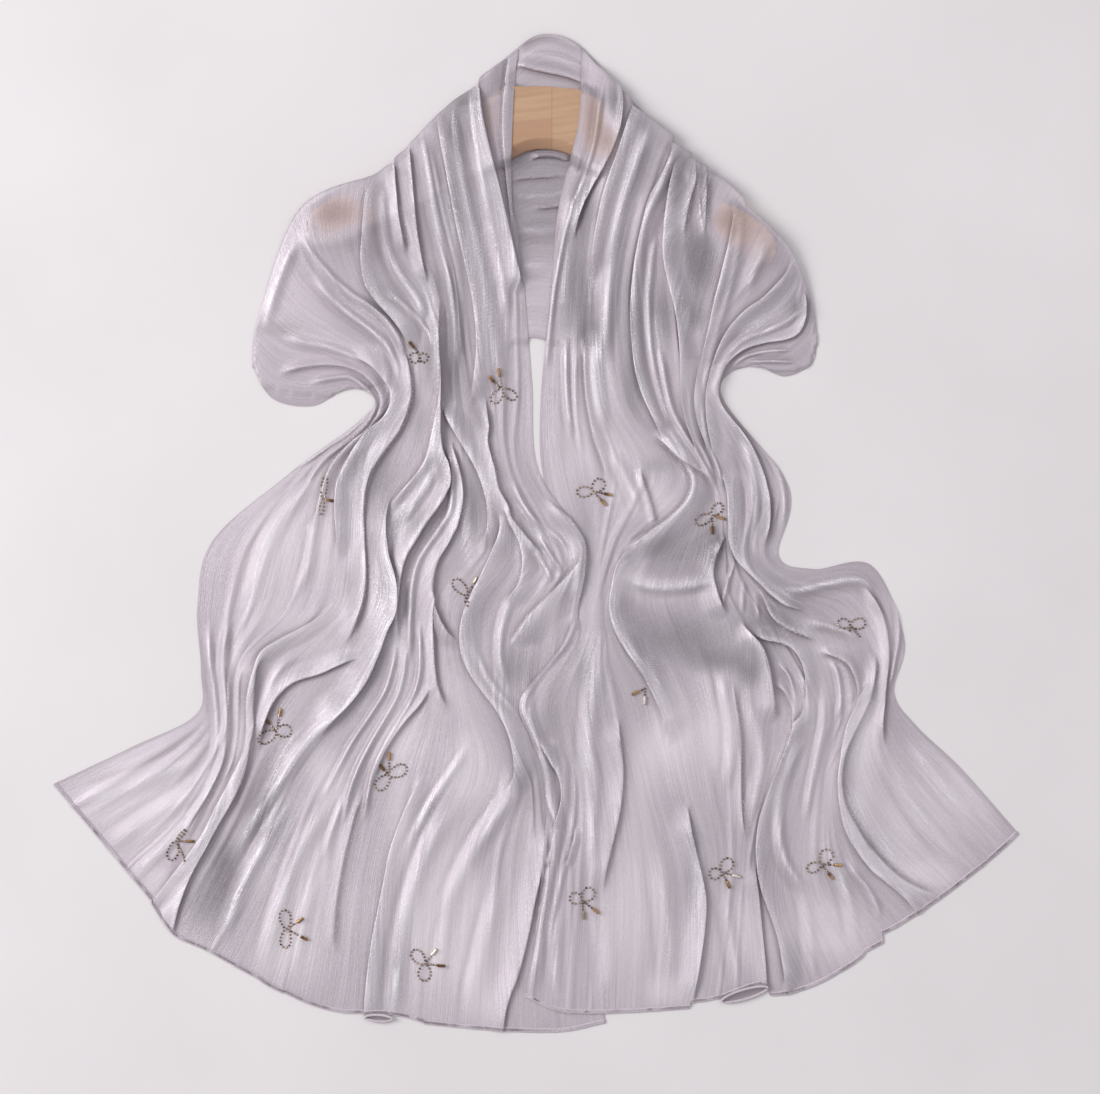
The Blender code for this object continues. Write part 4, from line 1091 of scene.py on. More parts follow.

# where the cloth lies in one thin layer (+) or doubled and dense (-), which also paints it lighter (+) and
# darker (-), partly as painted light and shade on the folds: middle and reach, pixels of the photo
toneColumns = ("name", "middle", "reach", "amount")
tones = (
    ("leftPuff", (304, 310), (46, 62), 0.8),
    ("leftLobe", (262, 558), (62, 85), 1.15),
    ("leftLobeTop", (330, 480), (30, 30), 0.4),
    ("leftCorner", (130, 805), (74, 58), 1.25),
    ("leftBand", (298, 885), (46, 80), 1.1),
    ("leftHem", (280, 962), (44, 34), 0.75),
    ("leftMiddle", (408, 700), (22, 50), 0.4),
    ("leftCentre", (455, 720), (26, 60), 0.7),
    ("leftBottom", (452, 940), (60, 66), 1.25),
    ("leftPanel", (455, 340), (18, 70), -0.7),
    ("leftPocket", (345, 460), (18, 25), -0.45),
    ("leftDark", (226, 868), (20, 38), -1.25),
    ("leftGroup", (428, 566), (17, 42), 0.5),
    ("leftCollar", (430, 200), (40, 60), -0.2),
    ("lobeEnd", (560, 580), (24, 50), -0.5),
    ("rightArmEnd", (750, 226), (46, 32), 1.2),
    ("basin", (697, 262), (24, 40), -1.2),
    ("rightPanel", (592, 478), (38, 62), 1.1),
    ("panelTop", (586, 398), (20, 50), 0.7),
    ("wavePanel", (672, 548), (40, 32), -0.8),
    ("waveLow", (672, 594), (40, 10), 0.9),
    ("waveShade", (684, 638), (56, 24), -0.8),
    ("rightCentre", (655, 740), (36, 50), 1.0),
    ("rightBottom", (620, 950), (70, 70), 0.8),
    ("innerShade", (552, 720), (18, 70), -0.4),
    ("kneeShade", (752, 676), (12, 16), -0.9),
    ("rightHem", (735, 940), (30, 50), 0.6),
    ("rightBand", (815, 800), (26, 90), 0.7),
    ("rightLobe", (850, 630), (30, 30), 0.6),
    ("rightCorner", (940, 815), (72, 58), 1.0),
    ("rightDark", (868, 665), (12, 28), -0.6),
    ("chestShade", (455, 345), (20, 44), -0.2),
    ("kneeFlat", (395, 740), (30, 40), 0.8),
    ("thighFlat", (470, 720), (34, 40), 0.6),
    ("sleeveTopPale", (722, 318), (14, 46), 0.8),
    ("lobeShade", (514, 668), (18, 26), -0.7),
    ("waveFlat", (690, 730), (40, 40), 0.5),
    ("overLeftArm", (425, 180), (50, 34), -0.2),
    ("overRightArm", (668, 176), (46, 32), -0.6),
    ("strapOuter", (469, 120), (24, 44), -1.3),
    ("lapelTop", (585, 203), (13, 44), -1.1),
    ("lapelUnder", (580, 286), (24, 60), -1.25),
    ("ribShade", (630, 300), (12, 62), -0.9),
    ("ribShadeTwo", (664, 312), (14, 40), -0.95),
    ("ribShadeLow", (634, 380), (12, 40), -0.85),
    ("dartShade", (700, 200), (12, 28), -0.9),
    ("dartShadeLow", (702, 226), (16, 28), -1.1),
    ("capShade", (801, 306), (13, 15), -0.95),
    ("cuffShade", (744, 424), (15, 40), -0.65),
    ("puffCrease", (380, 300), (22, 22), -0.65),
    ("bowShade", (436, 284), (13, 20), -0.6),
    ("crestShade", (428, 356), (10, 34), -0.9),
    ("crestShadeLow", (425, 422), (14, 24), -0.6),
    ("chestCrease", (480, 414), (13, 28), -0.7),
    ("chestSlope", (474, 508), (14, 44), -0.9),
    ("waistLeft", (370, 480), (26, 44), -0.75),
    ("lapShade", (440, 470), (12, 24), -0.7),
    ("faceShade", (414, 520), (20, 18), -0.9),
    ("faceShadeLow", (385, 582), (11, 36), -0.8),
    ("sideShade", (351, 586), (12, 34), -0.8),
    ("sideShadeLow", (364, 652), (16, 38), -0.5),
    ("kneeCrease", (334, 696), (18, 22), -0.45),
    ("lobeRim", (234, 560), (24, 56), -0.35),
    ("betweenShade", (590, 508), (18, 54), -1.0),
    ("wristShade", (767, 522), (12, 36), -0.7),
    ("strandShade", (776, 624), (32, 22), -0.9),
    ("strandShadeLow", (722, 662), (34, 14), -0.8),
    ("strandFar", (797, 590), (40, 18), -0.35),
    ("innerPleatShade", (586, 672), (8, 28), -0.75),
    ("thighShade", (446, 722), (26, 24), -0.9),
    ("shinShade", (262, 815), (26, 36), -1.3),
    ("shinShadeTop", (272, 772), (15, 28), -0.5),
    ("shinShadeLow", (208, 908), (24, 30), -0.75),
    ("shinStripe", (287, 872), (14, 42), -0.7),
    ("hemStripe", (394, 968), (12, 34), -1.0),
    ("innerLegShade", (530, 790), (11, 28), -0.5),
    ("rightStripe", (690, 890), (11, 50), -0.7),
    ("armEndShade", (350, 240), (15, 18), -0.55),
    ("armEndFar", (303, 221), (15, 14), -0.8),
    ("collarOuter", (614, 110), (9, 22), -1.2),
    ("lapelLow", (592, 336), (14, 16), -1.0),
    ("gulfShade", (697, 318), (10, 16), -0.9),
    ("panelFar", (655, 468), (24, 14), -0.7),
    ("cuffLowPale", (345, 434), (30, 12), 0.9),
    ("innerPale", (564, 830), (9, 44), 1.1),
    ("puffShade", (286, 328), (28, 14), -1.1),
    ("seamShade", (528, 312), (11, 30), -0.7),
    ("wristInner", (716, 545), (15, 22), -0.9),
    ("centreShade", (641, 712), (14, 28), -0.7),
    ("ribPale", (600, 255), (12, 34), 1.6),
    ("basinEdge", (674, 276), (9, 24), 0.9),
    ("dartPale", (376, 244), (11, 24), 1.5),
    ("cuffPale", (345, 368), (50, 12), 1.4),
    ("lobePale", (325, 548), (15, 55), 0.65),
    ("lobePaleLow", (300, 622), (28, 18), 0.5),
    ("flankPale", (230, 660), (14, 18), 1.0),
    ("flankPaleLow", (237, 730), (15, 32), 1.4),
    ("sleevePale", (694, 392), (18, 46), 1.35),
    ("sleevePaleLow", (721, 440), (11, 24), 0.7),
    ("armPale", (738, 214), (14, 16), 1.0),
    ("capPale", (780, 264), (16, 22), 0.8),
    ("waveRollPale", (662, 506), (24, 28), 1.25),
    ("waveLeftPale", (630, 580), (14, 16), 1.3),
    ("panelPale", (615, 474), (13, 22), 0.6),
    ("lobePanelPale", (548, 600), (24, 34), 0.95),
    ("groupPale", (486, 566), (16, 26), 0.85),
    ("thighPale", (476, 780), (30, 34), 1.15),
    ("legPale", (455, 882), (20, 60), 1.2),
    ("legPaleLeft", (400, 830), (14, 46), 1.1),
    ("kneePale", (326, 775), (20, 30), 1.1),
    ("centrePale", (634, 802), (19, 46), 0.7),
    ("centrePaleLow", (640, 880), (30, 60), 0.9),
    ("hemPaleRight", (664, 990), (18, 16), 0.9),
    ("hemPaleLeft", (480, 1000), (13, 28), 0.8),
    ("kneePaleRight", (722, 742), (17, 46), 1.2),
    ("strandPale", (781, 704), (17, 14), 0.8),
    ("bandPale", (768, 790), (14, 60), 0.9),
    ("sidePale", (888, 634), (12, 40), 1.1),
    ("sidePaleLow", (864, 726), (16, 50), 1.5),
    ("sideEndPale", (806, 706), (16, 18), 0.8),
    ("cornerPale", (830, 930), (60, 34), 1.3),
    ("cornerPaleFar", (930, 878), (34, 18), 1.1),
    ("cornerPaleLeft", (156, 884), (16, 18), 1.35),
)
# where the hanger shows through a single sheer layer; there the cloth is also painted darker, as painted
# shade
sheers = (
    ("armEndLeft", (334, 214), (28, 18), 1.0),
    ("armEndRight", (722, 222), (26, 15), 0.65),
    ("collarRight", (592, 122), (11, 38), 1.0),
    ("neckRight", (609, 142), (9, 19), 0.9),
    ("strapLeft", (488, 116), (11, 42), 0.75),
)
# painted highlights where the satin catches the light in sparkling streaks: ends and half width, pixels of
# the photo, how much
shimmerColumns = ("name", "start", "end", "half", "amount")
shimmers = (
    ("puffRidge", (302, 240), (345, 300), 6, 0.6),
    ("puffSlope", (335, 290), (400, 335), 8, 0.4),
    ("puffBelly", (290, 335), (350, 350), 6, 0.4),
    ("collarLine", (445, 188), (455, 250), 4, 0.7),
    ("collarDart", (402, 210), (412, 250), 3, 0.6),
    ("collarFar", (388, 195), (402, 240), 4, 0.35),
    ("bowShine", (424, 268), (437, 330), 6, 0.55),
    ("puffRim", (376, 345), (394, 400), 5, 0.6),
    ("lapShine", (412, 365), (408, 410), 5, 0.5),
    ("lapLow", (384, 425), (350, 490), 6, 0.5),
    ("panelCrest", (438, 395), (430, 470), 3.5, 0.8),
    ("panelFace", (410, 490), (390, 540), 9, 0.6),
    ("pleatOne", (447, 470), (455, 540), 4, 0.5),
    ("pleatTwo", (462, 500), (468, 560), 5, 0.65),
    ("strapShine", (500, 110), (506, 200), 4, 0.4),
    ("chestShine", (480, 200), (497, 330), 6, 0.35),
    ("chestBow", (497, 335), (497, 380), 4, 0.6),
    ("lapelShine", (482, 430), (503, 500), 5, 0.5),
    ("crumpleShine", (520, 505), (560, 570), 6, 0.6),
    ("crumpleTip", (560, 535), (575, 560), 6, 0.6),
    ("lobeLine", (516, 520), (522, 590), 4, 0.6),
    ("hipLine", (232, 630), (232, 700), 5, 0.5),
    ("hipLow", (242, 700), (236, 770), 5, 0.5),
    ("flankBand", (348, 652), (275, 690), 5, 0.6),
    ("flankPatch", (374, 570), (384, 640), 8, 0.65),
    ("flankLow", (290, 735), (262, 830), 8, 0.6),
    ("kneeBand", (325, 700), (312, 770), 6, 0.35),
    ("stripShine", (402, 615), (395, 690), 5, 0.45),
    ("stripLow", (436, 600), (420, 690), 4, 0.3),
    ("kneeSlash", (466, 742), (408, 850), 8, 0.85),
    ("thighLap", (464, 640), (498, 705), 4, 0.55),
    ("thighRight", (508, 775), (470, 835), 7, 0.5),
    ("shinSlash", (425, 860), (400, 930), 8, 0.4),
    ("lowLeft", (300, 800), (262, 880), 8, 0.4),
    ("armLine", (180, 810), (205, 770), 5, 0.35),
    ("hemShine", (470, 890), (455, 960), 8, 0.35),
    ("crestLapel", (566, 195), (562, 300), 4, 0.7),
    ("crestLow", (571, 330), (573, 425), 4, 0.5),
    ("bellyShine", (634, 586), (712, 588), 7, 0.25),
    ("rightPatch", (597, 340), (602, 408), 9, 1.0),
    ("collarRight", (613, 140), (600, 205), 4, 0.5),
    ("streakRight", (598, 225), (591, 300), 4, 0.6),
    ("streakWide", (640, 130), (618, 230), 7, 0.35),
    ("waistCrest", (669, 195), (664, 260), 5, 0.75),
    ("waistBelly", (670, 270), (690, 335), 6, 0.65),
    ("grainLine", (655, 320), (668, 430), 5, 0.6),
    ("grainLow", (676, 380), (694, 445), 4, 0.45),
    ("sleeveCrest", (718, 290), (697, 400), 4, 0.6),
    ("capShine", (742, 332), (778, 314), 5, 0.6),
    ("pinchShine", (706, 395), (716, 455), 5, 0.6),
    ("panelPatch", (606, 435), (645, 490), 8, 0.5),
    ("waveTip", (672, 428), (693, 480), 6, 0.8),
    ("strandShine", (733, 480), (736, 560), 7, 0.5),
    ("strandLow", (748, 575), (800, 602), 5, 0.4),
    ("ribShine", (766, 588), (790, 640), 3, 0.5),
    ("lobeRing", (868, 590), (886, 680), 5, 0.5),
    ("foldShine", (836, 650), (850, 705), 6, 0.6),
    ("archShine", (800, 670), (808, 725), 5, 0.6),
    ("lineLow", (872, 700), (848, 780), 6, 0.55),
    ("brightKnee", (848, 790), (862, 838), 9, 1.0),
    ("brightCorner", (880, 838), (908, 872), 9, 0.75),
    ("centrePatch", (700, 680), (716, 760), 7, 0.6),
    ("centreEdge", (746, 690), (740, 745), 5, 0.4),
    ("waveFoot", (658, 715), (672, 790), 5, 0.6),
    ("innerPatch", (590, 640), (592, 695), 9, 0.45),
    ("innerLow", (585, 800), (574, 865), 5, 0.4),
    ("borderSparkle", (545, 890), (537, 965), 4, 0.6),
    ("hemPatch", (600, 905), (600, 965), 8, 0.5),
    ("hemStreak", (702, 850), (696, 935), 5, 0.5),
    ("hemStreakTwo", (742, 900), (746, 965), 5, 0.5),
    ("calfShine", (803, 690), (785, 770), 6, 0.4),
    ("calfLow", (782, 780), (770, 850), 5, 0.4),
)
shimmering = {"least": 0.35, "tip": 0.02, "round": 0.6}


def shimmer(laid):
    # how strongly each point lies in one of the streaks
    amount = np.zeros(laid.shape[:2])
    for streak in named(shimmerColumns, shimmers):
        start, end = fromPhoto([streak["start"], streak["end"]])
        way = end - start
        place = np.clip(((laid - start) @ way) / (way @ way), 0, 1)
        away = np.linalg.norm(laid - start - place[..., None] * way, axis=-1)
        arch = np.sin(np.pi * np.clip(place, shimmering["tip"], 1 - shimmering["tip"])) ** shimmering["round"]
        ends = shimmering["least"] + (1 - shimmering["least"]) * arch
        amount = np.maximum(amount, streak["amount"] * ends * bell(away, fromPixels(streak["half"])))
    return amount


def patches(table, laid):
    amount = np.zeros(laid.shape[:2])
    for tone in named(toneColumns, table):
        away = (laid - fromPhoto(tone["middle"])) / fromPixels(np.array(tone["reach"]))
        amount += tone["amount"] * np.exp(-(away ** 2).sum(axis=-1))
    return amount


def laidCloth(piece):
    # the sheet's places on the table, with its folds laid, before it rests on anything
    folds = readFolds(piece["folds"])
    points, across = clothGrid(piece["sections"], piece["counts"], folds)
    points = scalloped(points)
    laid, rise, crest, hollow = layFolds(points, folds, piece["seed"])
    small = minorFolds(points, across, piece["seed"] + 1, piece["minor"])
    run = runAlong(points)
    toEdge = np.minimum(run, run[-1:] - run)
    calm = smoothStep(toEdge / showing["calm"]) * 0.5 + 0.5
    sheer = patches(sheers, laid)
    # how thin the cloth is: 0 dense and painted darker, 1 a single layer on the table and painted lighter, up
    # to 2 a sheer layer over the wood; the lighter and darker colour is partly painted light and shade
    thin = np.clip(showing["thinAndLightMean"] + showing["thinAndLightShare"] * patches(tones, laid), 0, 1)
    piece.update(
        laid=laid, rise=(rise + small) * calm, across=across, toEdge=toEdge,
        # the painted highlight on the crests and streaks, the painted shade in the creases and over the
        # hanger, the selvedge, and the thinness with its painted light and shade
        wear=(
            np.maximum(crest * showing["crestHighlightShare"], shimmer(laid)),
            np.clip(hollow + showing["sheerShade"] * sheer, 0, 1),
            bell(toEdge, showing["selvedge"]),
            thin + np.clip(sheer, 0, 1),
        ),
    )


def restCloth(piece, support, material):
    # the sheet lowered on what lies below it, its first rows turned down over the hanger
    laid = piece["laid"]
    countV = laid.shape[1]
    rise = piece["rise"] * smoothStep(np.arange(countV) / resting["firstRows"])[None, :]
    bridged = smoothStep(piece["toEdge"] / resting["edge"])
    lying = sampled(support[0], laid)
    height = lying + (sampled(support[1], laid) - lying) * bridged + resting["gap"] + rise
    points = np.concatenate([laid, height[..., None]], axis=-1)
    outward = points[:, 0, :2] - points[:, 2, :2]
    outward /= np.maximum(np.linalg.norm(outward, axis=1, keepdims=True), 1e-6)
    rows = []
    for k in range(wrap["rows"], 0, -1):
        turn = math.pi * k / (wrap["rows"] + 1)
        level = wrap["floor"] + (points[:, 0, 2] - wrap["floor"]) * (0.5 + 0.5 * math.cos(turn))
        place = points[:, 0, :2] + outward * wrap["out"] * math.sin(turn)
        rows.append(np.concatenate([place, level[:, None]], axis=1))
    points = np.concatenate([np.stack(rows, axis=1), points], axis=1)

    def widened(values):
        return np.concatenate([np.repeat(values[:, :1], wrap["rows"], axis=1), values], axis=1)

    lengths = np.arange(points.shape[1]) / (countV - 1) * piece["length"]
    across = widened(piece["across"]) * piece["cutWidth"]
    uv = np.stack([across, np.broadcast_to(lengths, across.shape)], axis=-1)
    piece["points"] = points
    return clothMesh(piece["name"], points, uv, [widened(values) for values in piece["wear"]], material)


def backCloth(piece, material):
    # the stretch behind the hanger, flat on the table, with the folds that show at the neck
    countU, countV = piece["counts"]
    table = sectionTable(backSections)
    ends = along(table, evenPlaces(table, countU))
    depth = np.linspace(0, 1, countV)[None, :, None]
    points = ends[:, :1] * (1 - depth) + ends[:, 1:] * depth
    laid, rise, crest, hollow = layFolds(points, readFolds(backFolds), piece["seed"])
    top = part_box(piece["node"])[1][2]
    height = np.minimum(piece["lift"] + rise, top + piece["over"])
    across = np.broadcast_to(depth[..., 0], piece["counts"])
    lengths = np.broadcast_to(np.linspace(0, piece["length"], countU)[:, None], piece["counts"])
    uv = np.stack([across * piece["cutWidth"], lengths], axis=-1)
    selvedge = bell(np.minimum(across, 1 - across) * piece["edgeShare"], piece["selvedge"])
    collar, neck = fromPhoto(piece["marks"])[:, 1]
    (neckShare, neckUp, neckSoft), (collarShare, collarSoft) = piece["neckThinAndLight"], piece["collarThinAndLight"]
    # thinner towards the neck and the collar, which also paints the cloth lighter there
    thin = (
        piece["thin"] + neckShare * smoothStep((neck + neckUp - laid[..., 1]) / neckSoft)
        + collarShare * smoothStep((laid[..., 1] - collar) / collarSoft)
    )
    whole = np.concatenate([laid, height[..., None]], axis=-1)
    # the painted highlight on the crests, the painted shade in the creases, the selvedge, and the thinness
    # with its painted light
    wear = (piece["crestHighlightShare"] * crest, hollow, selvedge, thin)
    return clothMesh(piece["name"], whole, uv, wear, material)


backSheet = backCloth(backPiece, backSatin)
backTree = treeOf(backSheet)
below = heightsBelow([treeOf(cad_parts[name]) for name in ("hanger_left", "hanger_right")] + [backTree])
print("back stretch laid")
laidCloth(leftFront)
laidCloth(rightFront)
print("folds laid")

gridY = ground["low"][1] + np.arange(ground["count"][1]) * ground["cell"]
above = smoothStep((gridY - crossing["y"]) / crossing["soft"] + 0.5)[None, :]
draft = restCloth(rightFront, relaxed(below, resting["passes"]), frontSatin)
rightTop = heightsBelow([treeOf(draft)])
draftMesh = draft.data
bpy.data.objects.remove(draft, do_unlink=True)
bpy.data.meshes.remove(draftMesh)
leftSupport = relaxed(np.maximum(below, rightTop * (above > 0.5)), resting["passes"])
leftSheet = restCloth(leftFront, leftSupport, frontSatin)
leftTree = treeOf(leftSheet)
rightSupport = relaxed(np.maximum(below, heightsBelow([leftTree]) * (above < 0.5)), resting["passes"])
rightSheet = restCloth(rightFront, rightSupport, frontSatin)
rightTree = treeOf(rightSheet)
print("fronts laid over each other")

# rolled hems with their stitches, metres
hem = {
    "width": 0.0040, "height": 0.0015, "pitch": 0.0021, "lift": 0.4, "floor": 0.0002,
    "stitchPitch": 0.0029, "stitchLength": 0.0024, "stitchWidth": 0.0005, "stitchBevel": 0.00016,
    "slant": 1.15,  # of each stitch to the edge, radians
    "stitchIn": 0.52,  # the stitch's middle, shares of the hem's width and height
    "stitchUp": 0.72,
    "profile": (  # the roll's section: inward and up, shares of width and height
        (0.0, 0.15), (-0.04, 0.6), (0.12, 1.0), (0.5, 0.80), (0.86, 1.0), (1.0, 0.6), (1.0, 0.1), (0.5, -0.25)
    ),
}


def modelStitch():
    bpy.ops.mesh.primitive_cube_add(size=1.0, location=(0, 0, 0))
    made = bpy.context.object
    bpy.ops.object.mode_set(mode="EDIT")
    bpy.ops.transform.resize(value=(hem["stitchLength"], hem["stitchWidth"], hem["stitchWidth"]))
    bpy.ops.mesh.bevel(offset=hem["stitchBevel"], segments=1)
    bpy.ops.object.mode_set(mode="OBJECT")
    return made


def shapeOf(made):
    # the points and faces of a modelled piece, which is then removed
    points = np.array([v.co[:] for v in made.data.vertices])
    faces = [tuple(f.vertices) for f in made.data.polygons]
    bpy.data.objects.remove(made, do_unlink=True)
    return points, faces


def joinedCopies(name, shape, places, material):
    # one mesh of many copies, each with its own four-by-four place
    points, faces = shape
    allPoints, allFaces = [], []
    for k, place in enumerate(places):
        allPoints.append(points @ np.array(place.to_3x3()).T + np.array(place.translation))
        allFaces += [tuple(i + k * len(points) for i in face) for face in faces]
    return newPiece(name, np.concatenate(allPoints).tolist(), allFaces, material)


def hemBand(name, line, inward, width=hem["width"]):
    # a closed flattened roll along the short end
    profile = hem["profile"]
    points = []
    for point, side in zip(line, inward):
        for into, up in profile:
            level = point[2] + (up - hem["lift"]) * hem["height"]
            points.append((*(point[:2] + side * into * width), max(level, hem["floor"])))
    count = len(profile)
    faces = []
    for i in range(len(line) - 1):
        for j in range(count):
            a, b = i * count + j, i * count + (j + 1) % count
            faces.append((a, b, b + count, a + count))
    faces.append(tuple(range(count)))
    faces.append(tuple(range(len(points) - 1, len(points) - 1 - count, -1)))
    made = newPiece(name, points, faces, hemThread)
    cleaned = bmesh.new()
    cleaned.from_mesh(made.data)
    bmesh.ops.recalc_face_normals(cleaned, faces=cleaned.faces)
    cleaned.to_mesh(made.data)
    cleaned.free()
    made.data.shade_smooth()
    return made


def resampled(line, pitch):
    run = runAlong(line)
    places = np.linspace(0, run[-1], max(2, int(run[-1] / pitch)))
    return np.stack([np.interp(places, run, line[:, k]) for k in range(line.shape[1])], axis=1)


def makeHem(piece, bandName, stitchName):
    last, before = piece["points"][:, -1], piece["points"][:, -4]
    line = resampled(np.concatenate([last, before], axis=1), hem["pitch"])
    inward = line[:, 3:5] - line[:, 0:2]
    inward /= np.linalg.norm(inward, axis=1, keepdims=True)
    band = hemBand(bandName, line[:, :3], inward)
    stitches = resampled(np.concatenate([line[:, :3], inward], axis=1), hem["stitchPitch"])
    places = []
    for stitch, following in zip(stitches[:-1], stitches[1:]):
        here, there = Vector(stitch[:3]), Vector(following[:3])
        side = Vector((*stitch[3:5], 0.0))
        run = (there - here).normalized()
        run = run * math.cos(hem["slant"]) + side.normalized() * math.sin(hem["slant"])
        centre = 0.5 * (here + there) + side * hem["width"] * hem["stitchIn"]
        centre.z += hem["stitchUp"] * hem["height"]
        up = run.cross(side.normalized())
        up = up if up.z > 0 else -up
        place = Matrix((run, up.cross(run), up)).transposed().to_4x4()
        place.translation = centre
        places.append(place)
    return band, joinedCopies(stitchName, shapeOf(modelStitch()), places, stitchThread)


leftHem, leftStitches = makeHem(leftFront, "leftHemRoll", "leftHemStitches")
rightHem, rightStitches = makeHem(rightFront, "rightHemRoll", "rightHemStitches")

# where a pleat's hem turns over and shows its mouth: its two tips and half its height, pixels of the photo
leftTurn = {"name": "leftHemTurn", "start": (364, 1018), "end": (393, 1020), "half": 4.6}
rightTurn = {"name": "rightHemTurn", "start": (721, 1002), "end": (769, 988), "half": 6.2}
turns = {
    "counts": (36, 11), "tip": 0.01, "round": 0.42, "lift": 0.0016, "lip": 0.0012,
    "cloth": (0.045, 0.006), "shade": 0.75, "thin": 0.35, "rollWidth": 0.0021,
}


def makeTurn(turn, levels):
    # the flattened mouth of a pleat, hollow in the middle, with the hem's roll round it
    start, end = fromPhoto([turn["start"], turn["end"]])
    countU, countV = turns["counts"]
    length, across = np.meshgrid(
        np.linspace(turns["tip"], 1 - turns["tip"], countU), np.linspace(-1, 1, countV), indexing="ij"
    )
    half = fromPixels(turn["half"]) * np.sin(np.pi * length) ** turns["round"]
    way = (end - start) / np.linalg.norm(end - start)
    aside = np.array([-way[1], way[0]])
    flat = start + (end - start) * length[..., None] + aside * (half * across)[..., None]
    base = sampled(levels, flat).max() * (0.5 + 0.5 * across) + turns["lift"]
    points = np.concatenate([flat, (base + turns["lip"] * across ** 2)[..., None]], axis=-1)
    uv = np.stack([length * turns["cloth"][0], across * turns["cloth"][1]], axis=-1)
    none = np.zeros(length.shape)
    # painted shade down the middle of the mouth; the cloth there is also set dense and painted darker
    wear = (none, turns["shade"] * (1 - across ** 2), none, none + turns["thin"])
    mouth = clothMesh(turn["name"] + "Mouth", points, uv, wear, frontSatin)
    rim = np.concatenate([points[:, 0], points[::-1, -1]])
    inward = np.concatenate([np.tile(aside, (countU, 1)), np.tile(-aside, (countU, 1))])
    return mouth, hemBand(turn["name"] + "Roll", rim, inward, turns["rollWidth"])


hemLevels = heightsBelow([leftTree, rightTree])
leftTurned = makeTurn(leftTurn, hemLevels)
rightTurned = makeTurn(rightTurn, hemLevels)
print("hems rolled and stitched")

# beaded bows, metres: seats are how far a stone or a bugle stands on the cloth, share of its radius
bowSizes = {
    "stone": 0.00102, "stoneFlat": 0.85, "stoneSeat": 0.7, "pitch": 0.0031,
    "bugleLength": 0.0072, "bugleRadius": 0.0014, "bugleBevel": 0.0003, "bugleSeat": 0.9,
    "tailFirst": 0.0028, "tailLast": 0.0006, "tailPitch": 0.0026,
    "loopSteps": 240, "loopLean": 0.22,
}
# a bow: where its strands meet, each loop's far end and how wide it is, each tail's end and what it ends in
bowColumns = ("name", "knot", "loops", "tails")
bows = (
    ("bowCollar", (419, 354), (((410, 360), 10), ((427, 360), 9)), (((409, 341), "gold"),)),
    ("bowChest", (502, 389), (((492, 402), 10), ((516, 398), 9)), (
        ((488, 376), "gold"), ((498, 368), "gold"))),
    ("bowSleeve", (322, 499), (((325, 476), 5.5), ((320, 515), 4)), (((334, 501), "gold"),)),
    ("bowThigh", (467, 595), (((453, 580), 10.5), ((466, 607), 3)), (((477, 577), "silver"),)),
    ("bowMiddle", (593, 491), (((603, 480), 11.5), ((577, 492), 10)), (
        ((612, 495), "gold"), ((606, 505), "gold"))),
    ("bowWaist", (712, 515), (((722, 504), 9.5), ((696, 523), 10)), (
        ((725, 519), "gold"), ((713, 534), "gold"))),
    ("bowSide", (851, 625), (((839, 623), 10), ((866, 623), 10.5)), (
        ((850, 633), "stones"), ((862, 639), "stones"))),
    ("bowHip", (645, 689), (), (((632, 695), "gold"), ((645, 705), "silver"))),
    ("bowFlank", (275, 732), (((258, 742), 11), ((290, 731), 12)), (
        ((264, 718), "gold"), ((280, 709), "gold"))),
    ("bowKnee", (388, 776), (((376, 790), 11.5), ((406, 768), 11.5)), (
        ((379, 765), "gold"), ((389, 753), "gold"))),
    ("bowCorner", (175, 842), (((169, 861), 10), ((185, 830), 3)), (
        ((193, 842), "gold"), ((185, 863), "stones"))),
    ("bowShin", (286, 930), (((283, 911), 10.5), ((284, 949), 10.5)), (
        ((303, 919), "gold"), ((307, 941), "gold"))),
    ("bowHemLeft", (424, 965), (((412, 952), 11), ((424, 982), 12)), (
        ((437, 950), "silver"), ((445, 967), "gold"))),
    ("bowHemMiddle", (582, 901), (((570, 897), 11), ((593, 890), 12)), (
        ((584, 920), "silver"), ((599, 914), "gold"))),
    ("bowHemRight", (722, 873), (((731, 860), 11.5), ((710, 876), 11)), (
        ((741, 878), "silver"), ((731, 889), "gold"))),
    ("bowCalf", (822, 865), (((830, 851), 12), ((808, 871), 9.5)), (
        ((843, 866), "gold"), ((834, 880), "gold"))),
)


def modelStone():
    bpy.ops.mesh.primitive_uv_sphere_add(
        segments=8, ring_count=5, radius=bowSizes["stone"], location=(0, 0, 0)
    )
    made = bpy.context.object
    bpy.ops.object.mode_set(mode="EDIT")
    bpy.ops.transform.resize(value=(1.0, 1.0, bowSizes["stoneFlat"]))
    bpy.ops.object.mode_set(mode="OBJECT")
    return made


def modelBugle():
    bpy.ops.mesh.primitive_cylinder_add(
        vertices=10, radius=bowSizes["bugleRadius"], depth=bowSizes["bugleLength"], location=(0, 0, 0)
    )
    made = bpy.context.object
    bpy.ops.object.mode_set(mode="EDIT")
    bpy.ops.mesh.bevel(offset=bowSizes["bugleBevel"], segments=1)
    bpy.ops.object.mode_set(mode="OBJECT")
    return made


